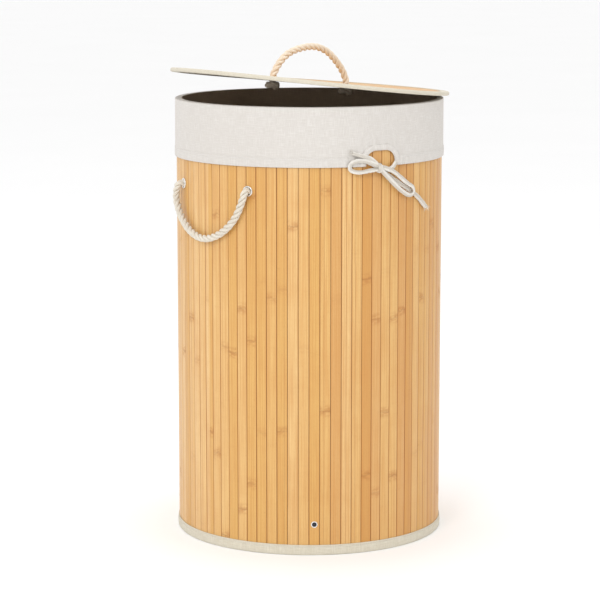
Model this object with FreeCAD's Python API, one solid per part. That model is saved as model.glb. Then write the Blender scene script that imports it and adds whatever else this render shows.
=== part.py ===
import FreeCAD, Part
import math
import os
from FreeCAD import Vector

# Round laundry hamper: a wall of upright bamboo slats, a lift-out cloth liner whose cuff folds over
# the rim, rope carrying handles and a loose slatted lid that rests ajar on the rim.
# Millimetres. The origin is the centre of the base on the floor, +Z up. The handles are at -X (left)
# and +X (right); the notch with the tied bow is near the front, -Y.

# ---- Driving dimensions -------------------------------------------------------------------------

# Wall
WALL_RADIUS = 200.0          # outer face of the slats
WALL_HEIGHT = 655.0          # floor to the top of the rim binding
SLAT_COUNT = 80
SLAT_GAP = 0.6
SLAT_THICKNESS = 2.0
WALL_CLOTH = 0.6             # backing that carries the slats
CLOTH_GAP = 0.1              # lay-up clearance between pieces of one body

# Rim and foot
TOP_BINDING_DROP = 25.0
TOP_BINDING_CLOTH = 0.7
HOOP_WIRE_DIAMETER = 3.8
HOOP_DROP = 10.0
FOOT_BINDING_HEIGHT = 15.3
FOOT_BINDING_CLOTH = 1.0
SEAM_TAPE_WIDTH = 24.0
SEAM_TAPE_CLOTH = 0.5
SEAM_ANGLE = 92.25

# Base
BASE_BOARD_THICKNESS = 4.0
BASE_CLOTH = 0.6
BASE_SKIRT_HEIGHT = 70.0
RIVET_HEIGHT = 46.0
RIVET_COUNT = 4
RIVET_START_ANGLE = -130.5
RIVET_BORE = 3.4
RIVET_BARREL = 4.0
RIVET_FLANGE = 4.9
RIVET_METAL = 0.8

# Rope handles
ROPE_DIAMETER = 10.0
EYELET_DROP = 121.0          # rim down to the middle of the eyelets
EYELET_HALF_ANGLE = 21.0
EYELET_SLACK = 0.5           # round the rope
EYELET_WALL = 0.6
EYELET_RIM = 1.7
EYELET_METAL = 1.2
HOLE_CLEARANCE = 0.2
ROPE_TURN_GAP = 0.3          # between a rope's fixed end and its swinging part
KNOT_THICKNESS = 12.0
KNOT_OPENING = 0.4           # through the middle of a knot
KNOT_TAIL = 22.0
KNOT_CLEARANCE = 0.4

# Liner
LINER_CLOTH = 0.7
LINER_FIT = 0.4              # liner to wall, all the way up
CUFF_DROP = 86.0
HEM_HEIGHT = 14.5
HEM_CLOTH = 0.4
HEM_CHANNEL = 0.9
DRAWSTRING_BAND_HEIGHT = 9.0
BAG_FLOOR_GAP = 1.2
BAG_SHOULDER = 60.0          # height over which the bag narrows past the knots
NOTCH_ANGLE = -102.0
NOTCH_WIDTH = 48.0
NOTCH_RISE = 22.5
NOTCH_CORNER = 16.0
NOTCH_BINDING_WIDTH = 8.7
NOTCH_BINDING_THICKNESS = 1.5
CORD_DIAMETER = 4.2
BOW_KNOT_RADIUS = 6.0

# Lid
LID_OVERHANG = 10.0          # past the slats
LID_SEAT_GAP = 0.4
LID_BINDING_CLOTH = 0.8
LID_BINDING_WIDTH = 13.0
LID_CLOTH = 0.6
LID_BOARD = 1.5
LID_SLAT_THICKNESS = 2.1
LID_SLAT_PITCH = 15.5
LID_LAYER_GAP = 0.05
LID_HANDLE_HALF_SPAN = 75.0
LID_PIVOT_OVERHANG = 1.2     # pivot line outside the cuff
LID_AJAR_ANGLE = 6.1

# ---- Cord routes --------------------------------------------------------------------------------
# Each point is (turn in degrees about the hamper's axis, stand-off from the slats, rise in mm).
# Turns and rises are counted from the middle of the handle's eyelets, or from the notch's middle
# at the hem.

SIDE_ROPE_STAND_OFF = 9.0
SIDE_ROPE_ROUTE = [
    (19.2, 8.8, -20.0),
    (16.0, 8.4, -43.0),
    (9.6, 8.2, -64.0),
    (1.0, 8.0, -75.5),
    (-7.4, 8.1, -71.5),
    (-15.6, 8.3, -56.5),
    (-21.8, 8.8, -36.0),
    (-24.2, 9.2, -17.0),
]

# Arch over the lid: (along the chord, height above the pivot line)
LID_ROPE_ROUTE = [
    (-67.0, 16.0),
    (-52.0, 32.0),
    (-28.0, 42.5),
    (3.0, 48.5),
    (30.0, 43.0),
    (51.0, 29.0),
    (67.0, 14.0),
]

BOW_KNOT = (-1.7, 7.2, -2.0)
LEFT_LOOP_ROUTE = [
    (-1.9, 8.6, 0.5),
    (-6.3, 8.2, 8.0),
    (-11.0, 6.6, 10.0),
    (-14.4, 5.6, 5.0),
    (-14.3, 5.2, -4.5),
    (-10.6, 5.4, -8.2),
    (-6.2, 7.0, -5.6),
    (-1.9, 8.4, -3.2),
]
RIGHT_LOOP_ROUTE = [
    (-1.5, 8.8, -0.5),
    (3.8, 8.8, -5.0),
    (8.6, 8.6, -17.5),
    (12.8, 8.6, -28.5),
    (15.8, 8.6, -33.0),
    (16.5, 8.6, -42.0),
    (13.7, 8.6, -47.0),
    (8.6, 8.6, -36.5),
    (4.4, 8.6, -23.5),
    (0.8, 8.6, -11.5),
    (-1.3, 8.6, -3.4),
]
LONG_TAIL_ROUTE = [
    (-1.5, 5.4, -3.0),
    (4.0, 4.6, -16.5),
    (10.0, 4.1, -28.5),
    (15.8, 4.0, -39.5),
    (21.4, 4.0, -52.0),
    (26.1, 4.2, -66.5),
]
SHORT_TAIL_ROUTE = [
    (-2.0, 8.0, 0.0),
    (-5.0, 6.4, 12.0),
    (-9.2, 5.6, 15.8),
    (-13.3, 5.9, 20.5),
]
LEFT_LEAD_ROUTE = [
    (-6.9, 5.3, 7.5),
    (-4.4, 5.6, 3.5),
    (-1.7, 6.4, -1.0),
]
RIGHT_LEAD_ROUTE = [
    (6.9, 5.3, 5.5),
    (5.6, 5.3, -3.0),
    (2.6, 5.6, -6.2),
    (-1.3, 6.4, -2.0),
]

# ---- Sizes that follow from them ----------------------------------------------------------------

SLAT_PITCH_ANGLE = 360.0 / SLAT_COUNT
SLAT_WIDTH = 2.0 * WALL_RADIUS * math.sin(math.radians(SLAT_PITCH_ANGLE / 2.0)) - SLAT_GAP
SLAT_OUTER_FACE = math.sqrt(WALL_RADIUS ** 2 - (SLAT_WIDTH / 2.0) ** 2)
SLAT_INNER_FACE = SLAT_OUTER_FACE - SLAT_THICKNESS
BACKING_OUTER = SLAT_INNER_FACE - CLOTH_GAP
BACKING_INNER = BACKING_OUTER - WALL_CLOTH
SLAT_BOTTOM = FOOT_BINDING_CLOTH + CLOTH_GAP
SLAT_TOP = WALL_HEIGHT - TOP_BINDING_CLOTH - CLOTH_GAP

HOOP_RADIUS = BACKING_INNER - CLOTH_GAP - HOOP_WIRE_DIAMETER / 2.0
TOP_BINDING_OUTER = WALL_RADIUS + CLOTH_GAP + TOP_BINDING_CLOTH
TOP_BINDING_INNER = HOOP_RADIUS - HOOP_WIRE_DIAMETER / 2.0 - CLOTH_GAP - TOP_BINDING_CLOTH
FOOT_BINDING_OUTER = WALL_RADIUS + CLOTH_GAP + FOOT_BINDING_CLOTH
FOOT_BINDING_INNER = BACKING_INNER - CLOTH_GAP - FOOT_BINDING_CLOTH

SKIRT_OUTER = FOOT_BINDING_INNER - CLOTH_GAP
SKIRT_INNER = SKIRT_OUTER - BASE_CLOTH
BASE_BOARD_BOTTOM = SLAT_BOTTOM
BASE_BOARD_TOP = BASE_BOARD_BOTTOM + BASE_BOARD_THICKNESS
BASE_TOP = BASE_BOARD_TOP + CLOTH_GAP + BASE_CLOTH

ROPE_RADIUS = ROPE_DIAMETER / 2.0
KNOT_RING = KNOT_THICKNESS / 2.0 + KNOT_OPENING
EYELET_HEIGHT = WALL_HEIGHT - EYELET_DROP
EYELET_BORE = ROPE_RADIUS + EYELET_SLACK
EYELET_BARREL = EYELET_BORE + EYELET_WALL
EYELET_FLANGE = EYELET_BARREL + EYELET_RIM
SIDE_ROPE_PIVOT = WALL_RADIUS + SIDE_ROPE_STAND_OFF
EYELET_INNER_FACE = math.sqrt(BACKING_INNER ** 2 - EYELET_FLANGE ** 2) - CLOTH_GAP
KNOT_CENTRE = EYELET_INNER_FACE - EYELET_METAL - KNOT_CLEARANCE - KNOT_THICKNESS / 2.0
KNOT_INNER_REACH = KNOT_CENTRE - KNOT_THICKNESS / 2.0

CUFF_INNER = TOP_BINDING_OUTER + LINER_FIT
CUFF_OUTER = CUFF_INNER + LINER_CLOTH
FOLD_BOTTOM = WALL_HEIGHT + LINER_FIT
RIM_TOP = FOLD_BOTTOM + LINER_CLOTH
HEM_BOTTOM = RIM_TOP - CUFF_DROP
HEM_TOP = HEM_BOTTOM + HEM_HEIGHT
HEM_OUTER = CUFF_INNER + 2.0 * HEM_CLOTH + HEM_CHANNEL
BAG_MOUTH_OUTER = TOP_BINDING_INNER - LINER_FIT
BAG_BODY_OUTER = KNOT_INNER_REACH - LINER_FIT
BAG_BOTTOM = BASE_TOP + BAG_FLOOR_GAP
BAG_BODY_TOP = EYELET_HEIGHT + KNOT_RING + KNOT_THICKNESS / 2.0 + 8.0

LID_RADIUS = WALL_RADIUS + LID_OVERHANG
LID_SEAT = RIM_TOP + LID_SEAT_GAP
LID_CLOTH_BOTTOM = LID_SEAT + LID_BINDING_CLOTH + LID_LAYER_GAP
LID_BOARD_BOTTOM = LID_CLOTH_BOTTOM + LID_CLOTH + LID_LAYER_GAP
LID_SLAT_BOTTOM = LID_BOARD_BOTTOM + LID_BOARD + LID_LAYER_GAP
LID_SLAT_TOP = LID_SLAT_BOTTOM + LID_SLAT_THICKNESS
LID_TOP = LID_SLAT_TOP + LID_LAYER_GAP + LID_BINDING_CLOTH
LID_INSIDE_RADIUS = LID_RADIUS - LID_BINDING_CLOTH - LID_LAYER_GAP
LID_PIVOT_RADIUS = CUFF_OUTER + LID_PIVOT_OVERHANG
LID_ROPE_PIVOT = LID_SLAT_TOP + ROPE_TURN_GAP + ROPE_RADIUS

Z_AXIS = Vector(0.0, 0.0, 1.0)
ORIGIN = Vector(0.0, 0.0, 0.0)


# ---- Helpers ------------------------------------------------------------------------------------

def revolved(profile):
    """Solid of revolution about +Z from (radius, height) corners."""
    corners = [Vector(radius, 0.0, height) for radius, height in profile]
    face = Part.Face(Part.makePolygon(corners + corners[:1]))
    return face.revolve(ORIGIN, Z_AXIS, 360.0)


def tube_ring(inner, outer, bottom, top):
    """Upright ring of rectangular section."""
    return revolved([(inner, bottom), (outer, bottom), (outer, top), (inner, top)])


def turned(shape, angle):
    """Copy turned about the hamper's axis."""
    copy = shape.copy()
    copy.rotate(ORIGIN, Z_AXIS, angle)
    return copy


def moved(shape, offset):
    """Copy moved by a vector."""
    copy = shape.copy()
    copy.translate(offset)
    return copy


def wall_point(turn, radius, height):
    """Point at a turn about the hamper's axis, a radius from it and a height above the floor."""
    angle = math.radians(turn)
    return Vector(radius * math.cos(angle), radius * math.sin(angle), height)


def flanged_tube(bore, barrel, flange, inner_face, outer_face, metal):
    """Hollow rivet along +X that clamps everything between its two faces."""
    profile = [
        (inner_face - metal, bore),
        (outer_face + metal, bore),
        (outer_face + metal, flange),
        (outer_face, flange),
        (outer_face, barrel),
        (inner_face, barrel),
        (inner_face, flange),
        (inner_face - metal, flange),
    ]
    corners = [Vector(along, 0.0, radius) for along, radius in profile]
    face = Part.Face(Part.makePolygon(corners + corners[:1]))
    return face.revolve(ORIGIN, Vector(1.0, 0.0, 0.0), 360.0)


def radial_hole(radius, turn, height):
    """Cutter through the wall along a radius."""
    start = Vector(WALL_RADIUS * 0.85, 0.0, height)
    cutter = Part.makeCylinder(radius, WALL_RADIUS * 0.3, start, Vector(1.0, 0.0, 0.0))
    return turned(cutter, turn)


def rounded_path(points, name):
    """Straight runs joined by the largest tangent arcs that the runs allow."""
    edges = []
    radii = []
    start = points[0]
    for before, corner, after in zip(points, points[1:], points[2:]):
        toward = (corner - before).normalize()
        away = (after - corner).normalize()
        half_turn = toward.getAngle(away) / 2.0
        reach = 0.45 * min((corner - before).Length, (after - corner).Length)
        radii.append(reach / math.tan(half_turn))
        arc_start = corner - toward * reach
        arc_end = corner + away * reach
        bisector = (away - toward).normalize()
        rise = radii[-1] * (1.0 / math.cos(half_turn) - 1.0)
        edges.append(Part.LineSegment(start, arc_start).toShape())
        edges.append(Part.Arc(arc_start, corner + bisector * rise, arc_end).toShape())
        start = arc_end
    edges.append(Part.LineSegment(start, points[-1]).toShape())
    print(name, "radii", [round(radius, 1) for radius in radii])
    return Part.Wire(edges)


def tube_along(points, diameter, name):
    """Round tube along a route."""
    path = rounded_path(points, name)
    section = Part.Wire(Part.makeCircle(diameter / 2.0, points[0], points[1] - points[0]))
    tube = path.makePipeShell([section], True, False)
    expected = math.pi * diameter ** 2 / 4.0 * path.Length
    print(name, "length", round(path.Length, 1), "volume ratio", round(tube.Volume / expected, 4))
    return tube


def swinging_rope(points, name):
    """Rope whose two ends are balls on its turning axis."""
    rope = tube_along(points, ROPE_DIAMETER, name)
    for end in (points[0], points[-1]):
        rope = rope.fuse(Part.makeSphere(ROPE_RADIUS, end))
    return rope.removeSplitter()


def rope_end(knot, stub_tip, tail):
    """Fixed rope end along +X: stub from the knot to its tip, stopper knot and hanging tail."""
    along = Vector(1.0, 0.0, 0.0)
    stub = Part.makeCylinder(ROPE_RADIUS, stub_tip - knot, Vector(knot, 0.0, 0.0), along)
    ring = Part.makeTorus(KNOT_RING, KNOT_THICKNESS / 2.0, Vector(knot, 0.0, 0.0), along)
    drop = Part.makeCylinder(ROPE_RADIUS, tail, Vector(knot, 0.0, 0.0), tail_direction())
    return stub.fuse([ring, drop]).removeSplitter()


def tail_direction():
    """A knot's tail hangs straight down."""
    return Vector(0.0, 0.0, -1.0)


def arch_outline(width, rise, corner, depth):
    """Prism of an arched opening standing on the hem, along +X, from outside the wall inwards."""
    half = width / 2.0
    bottom = HEM_BOTTOM - 1.0
    top = HEM_BOTTOM + rise
    diagonal = corner * (1.0 - math.sqrt(0.5))
    start = WALL_RADIUS * 0.9
    left_foot = Vector(start, -half, bottom)
    left_shoulder = Vector(start, -half, top - corner)
    left_top = Vector(start, -half + corner, top)
    right_top = Vector(start, half - corner, top)
    right_shoulder = Vector(start, half, top - corner)
    right_foot = Vector(start, half, bottom)
    left_bend = Vector(start, -half + diagonal, top - diagonal)
    right_bend = Vector(start, half - diagonal, top - diagonal)
    edges = [
        Part.LineSegment(left_foot, left_shoulder).toShape(),
        Part.Arc(left_shoulder, left_bend, left_top).toShape(),
        Part.LineSegment(left_top, right_top).toShape(),
        Part.Arc(right_top, right_bend, right_shoulder).toShape(),
        Part.LineSegment(right_shoulder, right_foot).toShape(),
        Part.LineSegment(right_foot, left_foot).toShape(),
    ]
    prism = Part.Face(Part.Wire(edges)).extrude(Vector(depth, 0.0, 0.0))
    return turned(prism, NOTCH_ANGLE)


def export(name, shape):
    """Write one node."""
    shape.exportStep("parts/" + name + ".step")


# ---- Wall and base ------------------------------------------------------------------------------

def handle_eyelet_turns(handle_angle):
    """Turns of a handle's two eyelets."""
    return [handle_angle + side * EYELET_HALF_ANGLE for side in (-1.0, 1.0)]


def wall_holes():
    """Cutters for every eyelet and base rivet."""
    cutters = []
    for handle_angle in (180.0, 0.0):
        for turn in handle_eyelet_turns(handle_angle):
            cutters.append(radial_hole(EYELET_BARREL + HOLE_CLEARANCE, turn, EYELET_HEIGHT))
    for turn in rivet_turns():
        cutters.append(radial_hole(RIVET_BARREL + HOLE_CLEARANCE, turn, RIVET_HEIGHT))
    return cutters


def rivet_turns():
    """Turns of the base rivets, evenly round the wall."""
    return [RIVET_START_ANGLE + 360.0 * number / RIVET_COUNT for number in range(RIVET_COUNT)]


def wall_slats():
    """Upright slats, holed where an eyelet or rivet passes through."""
    corner = Vector(SLAT_INNER_FACE, -SLAT_WIDTH / 2.0, SLAT_BOTTOM)
    blank = Part.makeBox(SLAT_THICKNESS, SLAT_WIDTH, SLAT_TOP - SLAT_BOTTOM, corner)
    holes = wall_holes()
    slats = []
    for number in range(SLAT_COUNT):
        slat = turned(blank, number * SLAT_PITCH_ANGLE)
        touching = [hole for hole in holes if slat.common(hole).Volume > 0.001]
        for hole in touching:
            slat = slat.cut(hole)
        slats.extend(slat.Solids)
    return Part.makeCompound(slats)


def wall_backing():
    """Cloth tube that carries the slats."""
    cloth = tube_ring(BACKING_INNER, BACKING_OUTER, SLAT_BOTTOM, SLAT_TOP)
    return cloth.cut(wall_holes())


def seam_tape():
    """Cloth strip over the upright joint of the slat sheet."""
    outer = BACKING_INNER - CLOTH_GAP
    bottom = BASE_SKIRT_HEIGHT + CLOTH_GAP
    top = WALL_HEIGHT - TOP_BINDING_DROP - CLOTH_GAP
    ring = tube_ring(outer - SEAM_TAPE_CLOTH, outer, bottom, top)
    corner = Vector(0.0, -SEAM_TAPE_WIDTH / 2.0, bottom)
    window = Part.makeBox(WALL_RADIUS, SEAM_TAPE_WIDTH, top - bottom, corner)
    return turned(ring.common(window), SEAM_ANGLE)


def edge_binding(inner, outer, cloth, closed_edge, open_edge):
    """Folded cloth binding round an edge of the wall: two skins joined at the closed edge."""
    inward = cloth if open_edge > closed_edge else -cloth
    return revolved([
        (inner, open_edge),
        (inner, closed_edge),
        (outer, closed_edge),
        (outer, open_edge),
        (outer - cloth, open_edge),
        (outer - cloth, closed_edge + inward),
        (inner + cloth, closed_edge + inward),
        (inner + cloth, open_edge),
    ])


def top_binding():
    """Binding over the rim, round the slats and the hoop."""
    return edge_binding(TOP_BINDING_INNER, TOP_BINDING_OUTER, TOP_BINDING_CLOTH,
                        WALL_HEIGHT, WALL_HEIGHT - TOP_BINDING_DROP)


def bottom_binding():
    """Binding round the foot of the wall; the hamper stands on it."""
    return edge_binding(FOOT_BINDING_INNER, FOOT_BINDING_OUTER, FOOT_BINDING_CLOTH,
                        0.0, FOOT_BINDING_HEIGHT)


def top_hoop():
    """Steel wire that keeps the rim round."""
    centre = Vector(0.0, 0.0, WALL_HEIGHT - HOOP_DROP)
    return Part.makeTorus(HOOP_RADIUS, HOOP_WIRE_DIAMETER / 2.0, centre, Z_AXIS)


def base_panel():
    """Stiff round board."""
    radius = SKIRT_INNER - CLOTH_GAP
    return Part.makeCylinder(radius, BASE_BOARD_THICKNESS, Vector(0.0, 0.0, BASE_BOARD_BOTTOM))


def base_cover():
    """Cloth tray over the board; its skirt is riveted to the wall."""
    tray = revolved([
        (0.0, BASE_BOARD_TOP + CLOTH_GAP),
        (SKIRT_OUTER, BASE_BOARD_TOP + CLOTH_GAP),
        (SKIRT_OUTER, BASE_SKIRT_HEIGHT),
        (SKIRT_INNER, BASE_SKIRT_HEIGHT),
        (SKIRT_INNER, BASE_TOP),
        (0.0, BASE_TOP),
    ])
    holes = [radial_hole(RIVET_BARREL + HOLE_CLEARANCE, turn, RIVET_HEIGHT) for turn in rivet_turns()]
    return tray.cut(holes)


def base_rivets():
    """Hollow rivets through the slats, the backing and the base skirt."""
    inner_face = math.sqrt(SKIRT_INNER ** 2 - RIVET_FLANGE ** 2) - CLOTH_GAP
    rivet = flanged_tube(RIVET_BORE, RIVET_BARREL, RIVET_FLANGE, inner_face,
                         SLAT_OUTER_FACE + CLOTH_GAP, RIVET_METAL)
    lifted = moved(rivet, Vector(0.0, 0.0, RIVET_HEIGHT))
    return Part.makeCompound([turned(lifted, turn) for turn in rivet_turns()])


# ---- Side handles -------------------------------------------------------------------------------

def handle_eyelets(handle_angle):
    """Two metal eyelets that the rope passes through."""
    eyelet = flanged_tube(EYELET_BORE, EYELET_BARREL, EYELET_FLANGE, EYELET_INNER_FACE,
                          WALL_RADIUS + CLOTH_GAP, EYELET_METAL)
    lifted = moved(eyelet, Vector(0.0, 0.0, EYELET_HEIGHT))
    return Part.makeCompound([turned(lifted, turn) for turn in handle_eyelet_turns(handle_angle)])


def handle_rope_ends(handle_angle):
    """Rope ends knotted behind the eyelets."""
    stub_tip = SIDE_ROPE_PIVOT - ROPE_RADIUS - ROPE_TURN_GAP
    end = moved(rope_end(KNOT_CENTRE, stub_tip, KNOT_TAIL), Vector(0.0, 0.0, EYELET_HEIGHT))
    return Part.makeCompound([turned(end, turn) for turn in handle_eyelet_turns(handle_angle)])


def handle_rope(handle_angle, name):
    """Hanging loop of rope between the two eyelets."""
    points = [wall_point(handle_angle + EYELET_HALF_ANGLE, SIDE_ROPE_PIVOT, EYELET_HEIGHT)]
    for turn, stand_off, rise in SIDE_ROPE_ROUTE:
        points.append(wall_point(handle_angle + turn, WALL_RADIUS + stand_off, EYELET_HEIGHT + rise))
    points.append(wall_point(handle_angle - EYELET_HALF_ANGLE, SIDE_ROPE_PIVOT, EYELET_HEIGHT))
    return swinging_rope(points, name)


# ---- Liner --------------------------------------------------------------------------------------

def liner_bag():
    """Cloth bag, narrowed below the rim so that it draws up past the rope knots."""
    shoulder = BAG_BODY_TOP + BAG_SHOULDER
    return revolved([
        (0.0, BAG_BOTTOM),
        (BAG_BODY_OUTER, BAG_BOTTOM),
        (BAG_BODY_OUTER, BAG_BODY_TOP),
        (BAG_MOUTH_OUTER, shoulder),
        (BAG_MOUTH_OUTER, RIM_TOP),
        (BAG_MOUTH_OUTER - LINER_CLOTH, RIM_TOP),
        (BAG_MOUTH_OUTER - LINER_CLOTH, shoulder),
        (BAG_BODY_OUTER - LINER_CLOTH, BAG_BODY_TOP),
        (BAG_BODY_OUTER - LINER_CLOTH, BAG_BOTTOM + LINER_CLOTH),
        (0.0, BAG_BOTTOM + LINER_CLOTH),
    ])


def notch_cutter(margin):
    """Arched opening of the notch, grown by a margin all round."""
    width = NOTCH_WIDTH + 2.0 * margin
    return arch_outline(width, NOTCH_RISE + margin, NOTCH_CORNER + margin, WALL_RADIUS * 0.2)


def liner_cuff():
    """Cloth folded over the rim and down outside the wall, down to its hem."""
    cuff = revolved([
        (BAG_MOUTH_OUTER + CLOTH_GAP, FOLD_BOTTOM),
        (CUFF_INNER, FOLD_BOTTOM),
        (CUFF_INNER, HEM_TOP + CLOTH_GAP),
        (CUFF_OUTER, HEM_TOP + CLOTH_GAP),
        (CUFF_OUTER, RIM_TOP),
        (BAG_MOUTH_OUTER + CLOTH_GAP, RIM_TOP),
    ])
    return cuff.cut(notch_cutter(NOTCH_BINDING_WIDTH + CLOTH_GAP))


def cuff_hem():
    """Hollow hem that the drawstring runs in."""
    hem = tube_ring(CUFF_INNER, HEM_OUTER, HEM_BOTTOM, HEM_TOP)
    channel = tube_ring(CUFF_INNER + HEM_CLOTH, HEM_OUTER - HEM_CLOTH,
                        HEM_BOTTOM + HEM_CLOTH, HEM_TOP - HEM_CLOTH)
    return hem.cut(channel).cut(notch_cutter(NOTCH_BINDING_WIDTH + CLOTH_GAP))


def hem_drawstring():
    """Stretch of the drawstring that lies flat inside the hem."""
    middle = (HEM_BOTTOM + HEM_TOP) / 2.0
    band = tube_ring(CUFF_INNER + HEM_CLOTH + CLOTH_GAP, HEM_OUTER - HEM_CLOTH - CLOTH_GAP,
                     middle - DRAWSTRING_BAND_HEIGHT / 2.0, middle + DRAWSTRING_BAND_HEIGHT / 2.0)
    return band.cut(notch_cutter(NOTCH_BINDING_WIDTH + CLOTH_GAP))


def notch_binding():
    """Gathered binding round the notch."""
    shell = tube_ring(CUFF_INNER, CUFF_INNER + NOTCH_BINDING_THICKNESS, HEM_BOTTOM,
                      HEM_BOTTOM + NOTCH_RISE + 2.0 * NOTCH_BINDING_WIDTH)
    return shell.common(notch_cutter(NOTCH_BINDING_WIDTH)).cut(notch_cutter(0.0))


def bow_point(point):
    """Place of a route point of the bow."""
    turn, stand_off, rise = point
    return wall_point(NOTCH_ANGLE + turn, WALL_RADIUS + stand_off, HEM_BOTTOM + rise)


def bow_cord(route, name):
    """One stretch of the tied drawstring."""
    return tube_along([bow_point(point) for point in route], CORD_DIAMETER, name)


def bow_knot():
    """Knot of the bow."""
    return Part.makeSphere(BOW_KNOT_RADIUS, bow_point(BOW_KNOT))


# ---- Lid, modelled closed and then tipped open about its resting line on the rim ------------------

def ajar(shape):
    """Copy tipped up on the left about the line where the lid rests on the rim at the right."""
    copy = shape.copy()
    copy.rotate(Vector(LID_PIVOT_RADIUS, 0.0, LID_SEAT), Vector(0.0, 1.0, 0.0), LID_AJAR_ANGLE)
    return copy


def lid_disc(bottom, thickness):
    """Layer of the lid with the two rope holes."""
    disc = Part.makeCylinder(LID_INSIDE_RADIUS, thickness, Vector(0.0, 0.0, bottom))
    return disc.cut(lid_rope_holes())


def lid_rope_holes():
    """Cutters for the rope through the lid."""
    radius = ROPE_RADIUS + HOLE_CLEARANCE
    depth = LID_TOP - LID_SEAT + 2.0
    places = [Vector(side * LID_HANDLE_HALF_SPAN, 0.0, LID_SEAT - 1.0) for side in (-1.0, 1.0)]
    return [Part.makeCylinder(radius, depth, place) for place in places]


def lid_slats():
    """Parallel slats cut to the lid's circle."""
    disc = lid_disc(LID_SLAT_BOTTOM, LID_SLAT_THICKNESS)
    half_count = int(LID_INSIDE_RADIUS // LID_SLAT_PITCH)
    slats = []
    for number in range(-half_count, half_count + 1):
        near_side = number * LID_SLAT_PITCH - (LID_SLAT_PITCH - SLAT_GAP) / 2.0
        corner = Vector(-LID_RADIUS, near_side, LID_SLAT_BOTTOM)
        strip = Part.makeBox(2.0 * LID_RADIUS, LID_SLAT_PITCH - SLAT_GAP, LID_SLAT_THICKNESS, corner)
        slats.extend(disc.common(strip).Solids)
    return ajar(Part.makeCompound(slats))


def lid_board():
    """Stiff board under the slats."""
    return ajar(lid_disc(LID_BOARD_BOTTOM, LID_BOARD))


def lid_lining():
    """Cloth under the board."""
    return ajar(lid_disc(LID_CLOTH_BOTTOM, LID_CLOTH))


def lid_binding():
    """Cloth binding folded round the lid's edge."""
    inner = LID_RADIUS - LID_BINDING_WIDTH
    web = LID_RADIUS - LID_BINDING_CLOTH
    return ajar(revolved([
        (inner, LID_SEAT),
        (LID_RADIUS, LID_SEAT),
        (LID_RADIUS, LID_TOP),
        (inner, LID_TOP),
        (inner, LID_TOP - LID_BINDING_CLOTH),
        (web, LID_TOP - LID_BINDING_CLOTH),
        (web, LID_SEAT + LID_BINDING_CLOTH),
        (inner, LID_SEAT + LID_BINDING_CLOTH),
    ]))


def lid_rope_ends():
    """Rope ends knotted under the lid."""
    knot_centre = LID_SEAT + LID_BINDING_CLOTH - KNOT_CLEARANCE - KNOT_THICKNESS / 2.0
    stub_tip = LID_SLAT_TOP
    ends = []
    for side in (-1.0, 1.0):
        foot = Vector(side * LID_HANDLE_HALF_SPAN, 0.0, knot_centre)
        stub = Part.makeCylinder(ROPE_RADIUS, stub_tip - knot_centre, foot)
        ring = Part.makeTorus(KNOT_RING, KNOT_THICKNESS / 2.0, foot, Z_AXIS)
        ends.append(stub.fuse(ring).removeSplitter())
    return ajar(Part.makeCompound(ends))


def lid_handle_rope():
    """Arch of rope over the lid."""
    points = [Vector(-LID_HANDLE_HALF_SPAN, 0.0, LID_ROPE_PIVOT)]
    for along, height in LID_ROPE_ROUTE:
        points.append(Vector(along, 0.0, LID_ROPE_PIVOT + height))
    points.append(Vector(LID_HANDLE_HALF_SPAN, 0.0, LID_ROPE_PIVOT))
    return ajar(swinging_rope(points, "lid_handle_rope"))


# ---- Build --------------------------------------------------------------------------------------

def main():
    os.makedirs("parts", exist_ok=True)

    export("wall_slats", wall_slats())
    export("wall_backing", wall_backing())
    export("seam_tape", seam_tape())
    export("top_hoop", top_hoop())
    export("top_binding", top_binding())
    export("bottom_binding", bottom_binding())
    export("base_panel", base_panel())
    export("base_cover", base_cover())
    export("base_rivets", base_rivets())

    for side, handle_angle in (("left", 180.0), ("right", 0.0)):
        export(side + "_eyelets", handle_eyelets(handle_angle))
        export(side + "_rope_ends", handle_rope_ends(handle_angle))
        export(side + "_handle_rope", handle_rope(handle_angle, side + "_handle_rope"))

    export("liner_bag", liner_bag())
    export("liner_cuff", liner_cuff())
    export("cuff_hem", cuff_hem())
    export("hem_drawstring", hem_drawstring())
    export("notch_binding", notch_binding())
    export("bow_knot", bow_knot())
    export("bow_left_loop", bow_cord(LEFT_LOOP_ROUTE, "bow_left_loop"))
    export("bow_right_loop", bow_cord(RIGHT_LOOP_ROUTE, "bow_right_loop"))
    export("bow_long_tail", bow_cord(LONG_TAIL_ROUTE, "bow_long_tail"))
    export("bow_short_tail", bow_cord(SHORT_TAIL_ROUTE, "bow_short_tail"))
    export("bow_left_lead", bow_cord(LEFT_LEAD_ROUTE, "bow_left_lead"))
    export("bow_right_lead", bow_cord(RIGHT_LEAD_ROUTE, "bow_right_lead"))

    export("lid_slats", lid_slats())
    export("lid_board", lid_board())
    export("lid_lining", lid_lining())
    export("lid_binding", lid_binding())
    export("lid_rope_ends", lid_rope_ends())
    export("lid_handle_rope", lid_handle_rope())


main()
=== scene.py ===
import logging
import math
import random
from dataclasses import dataclass
from enum import Enum
from typing import Callable, Optional, Sequence, Union

import bmesh
import bpy
from mathutils import Matrix, Vector, noise


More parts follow.
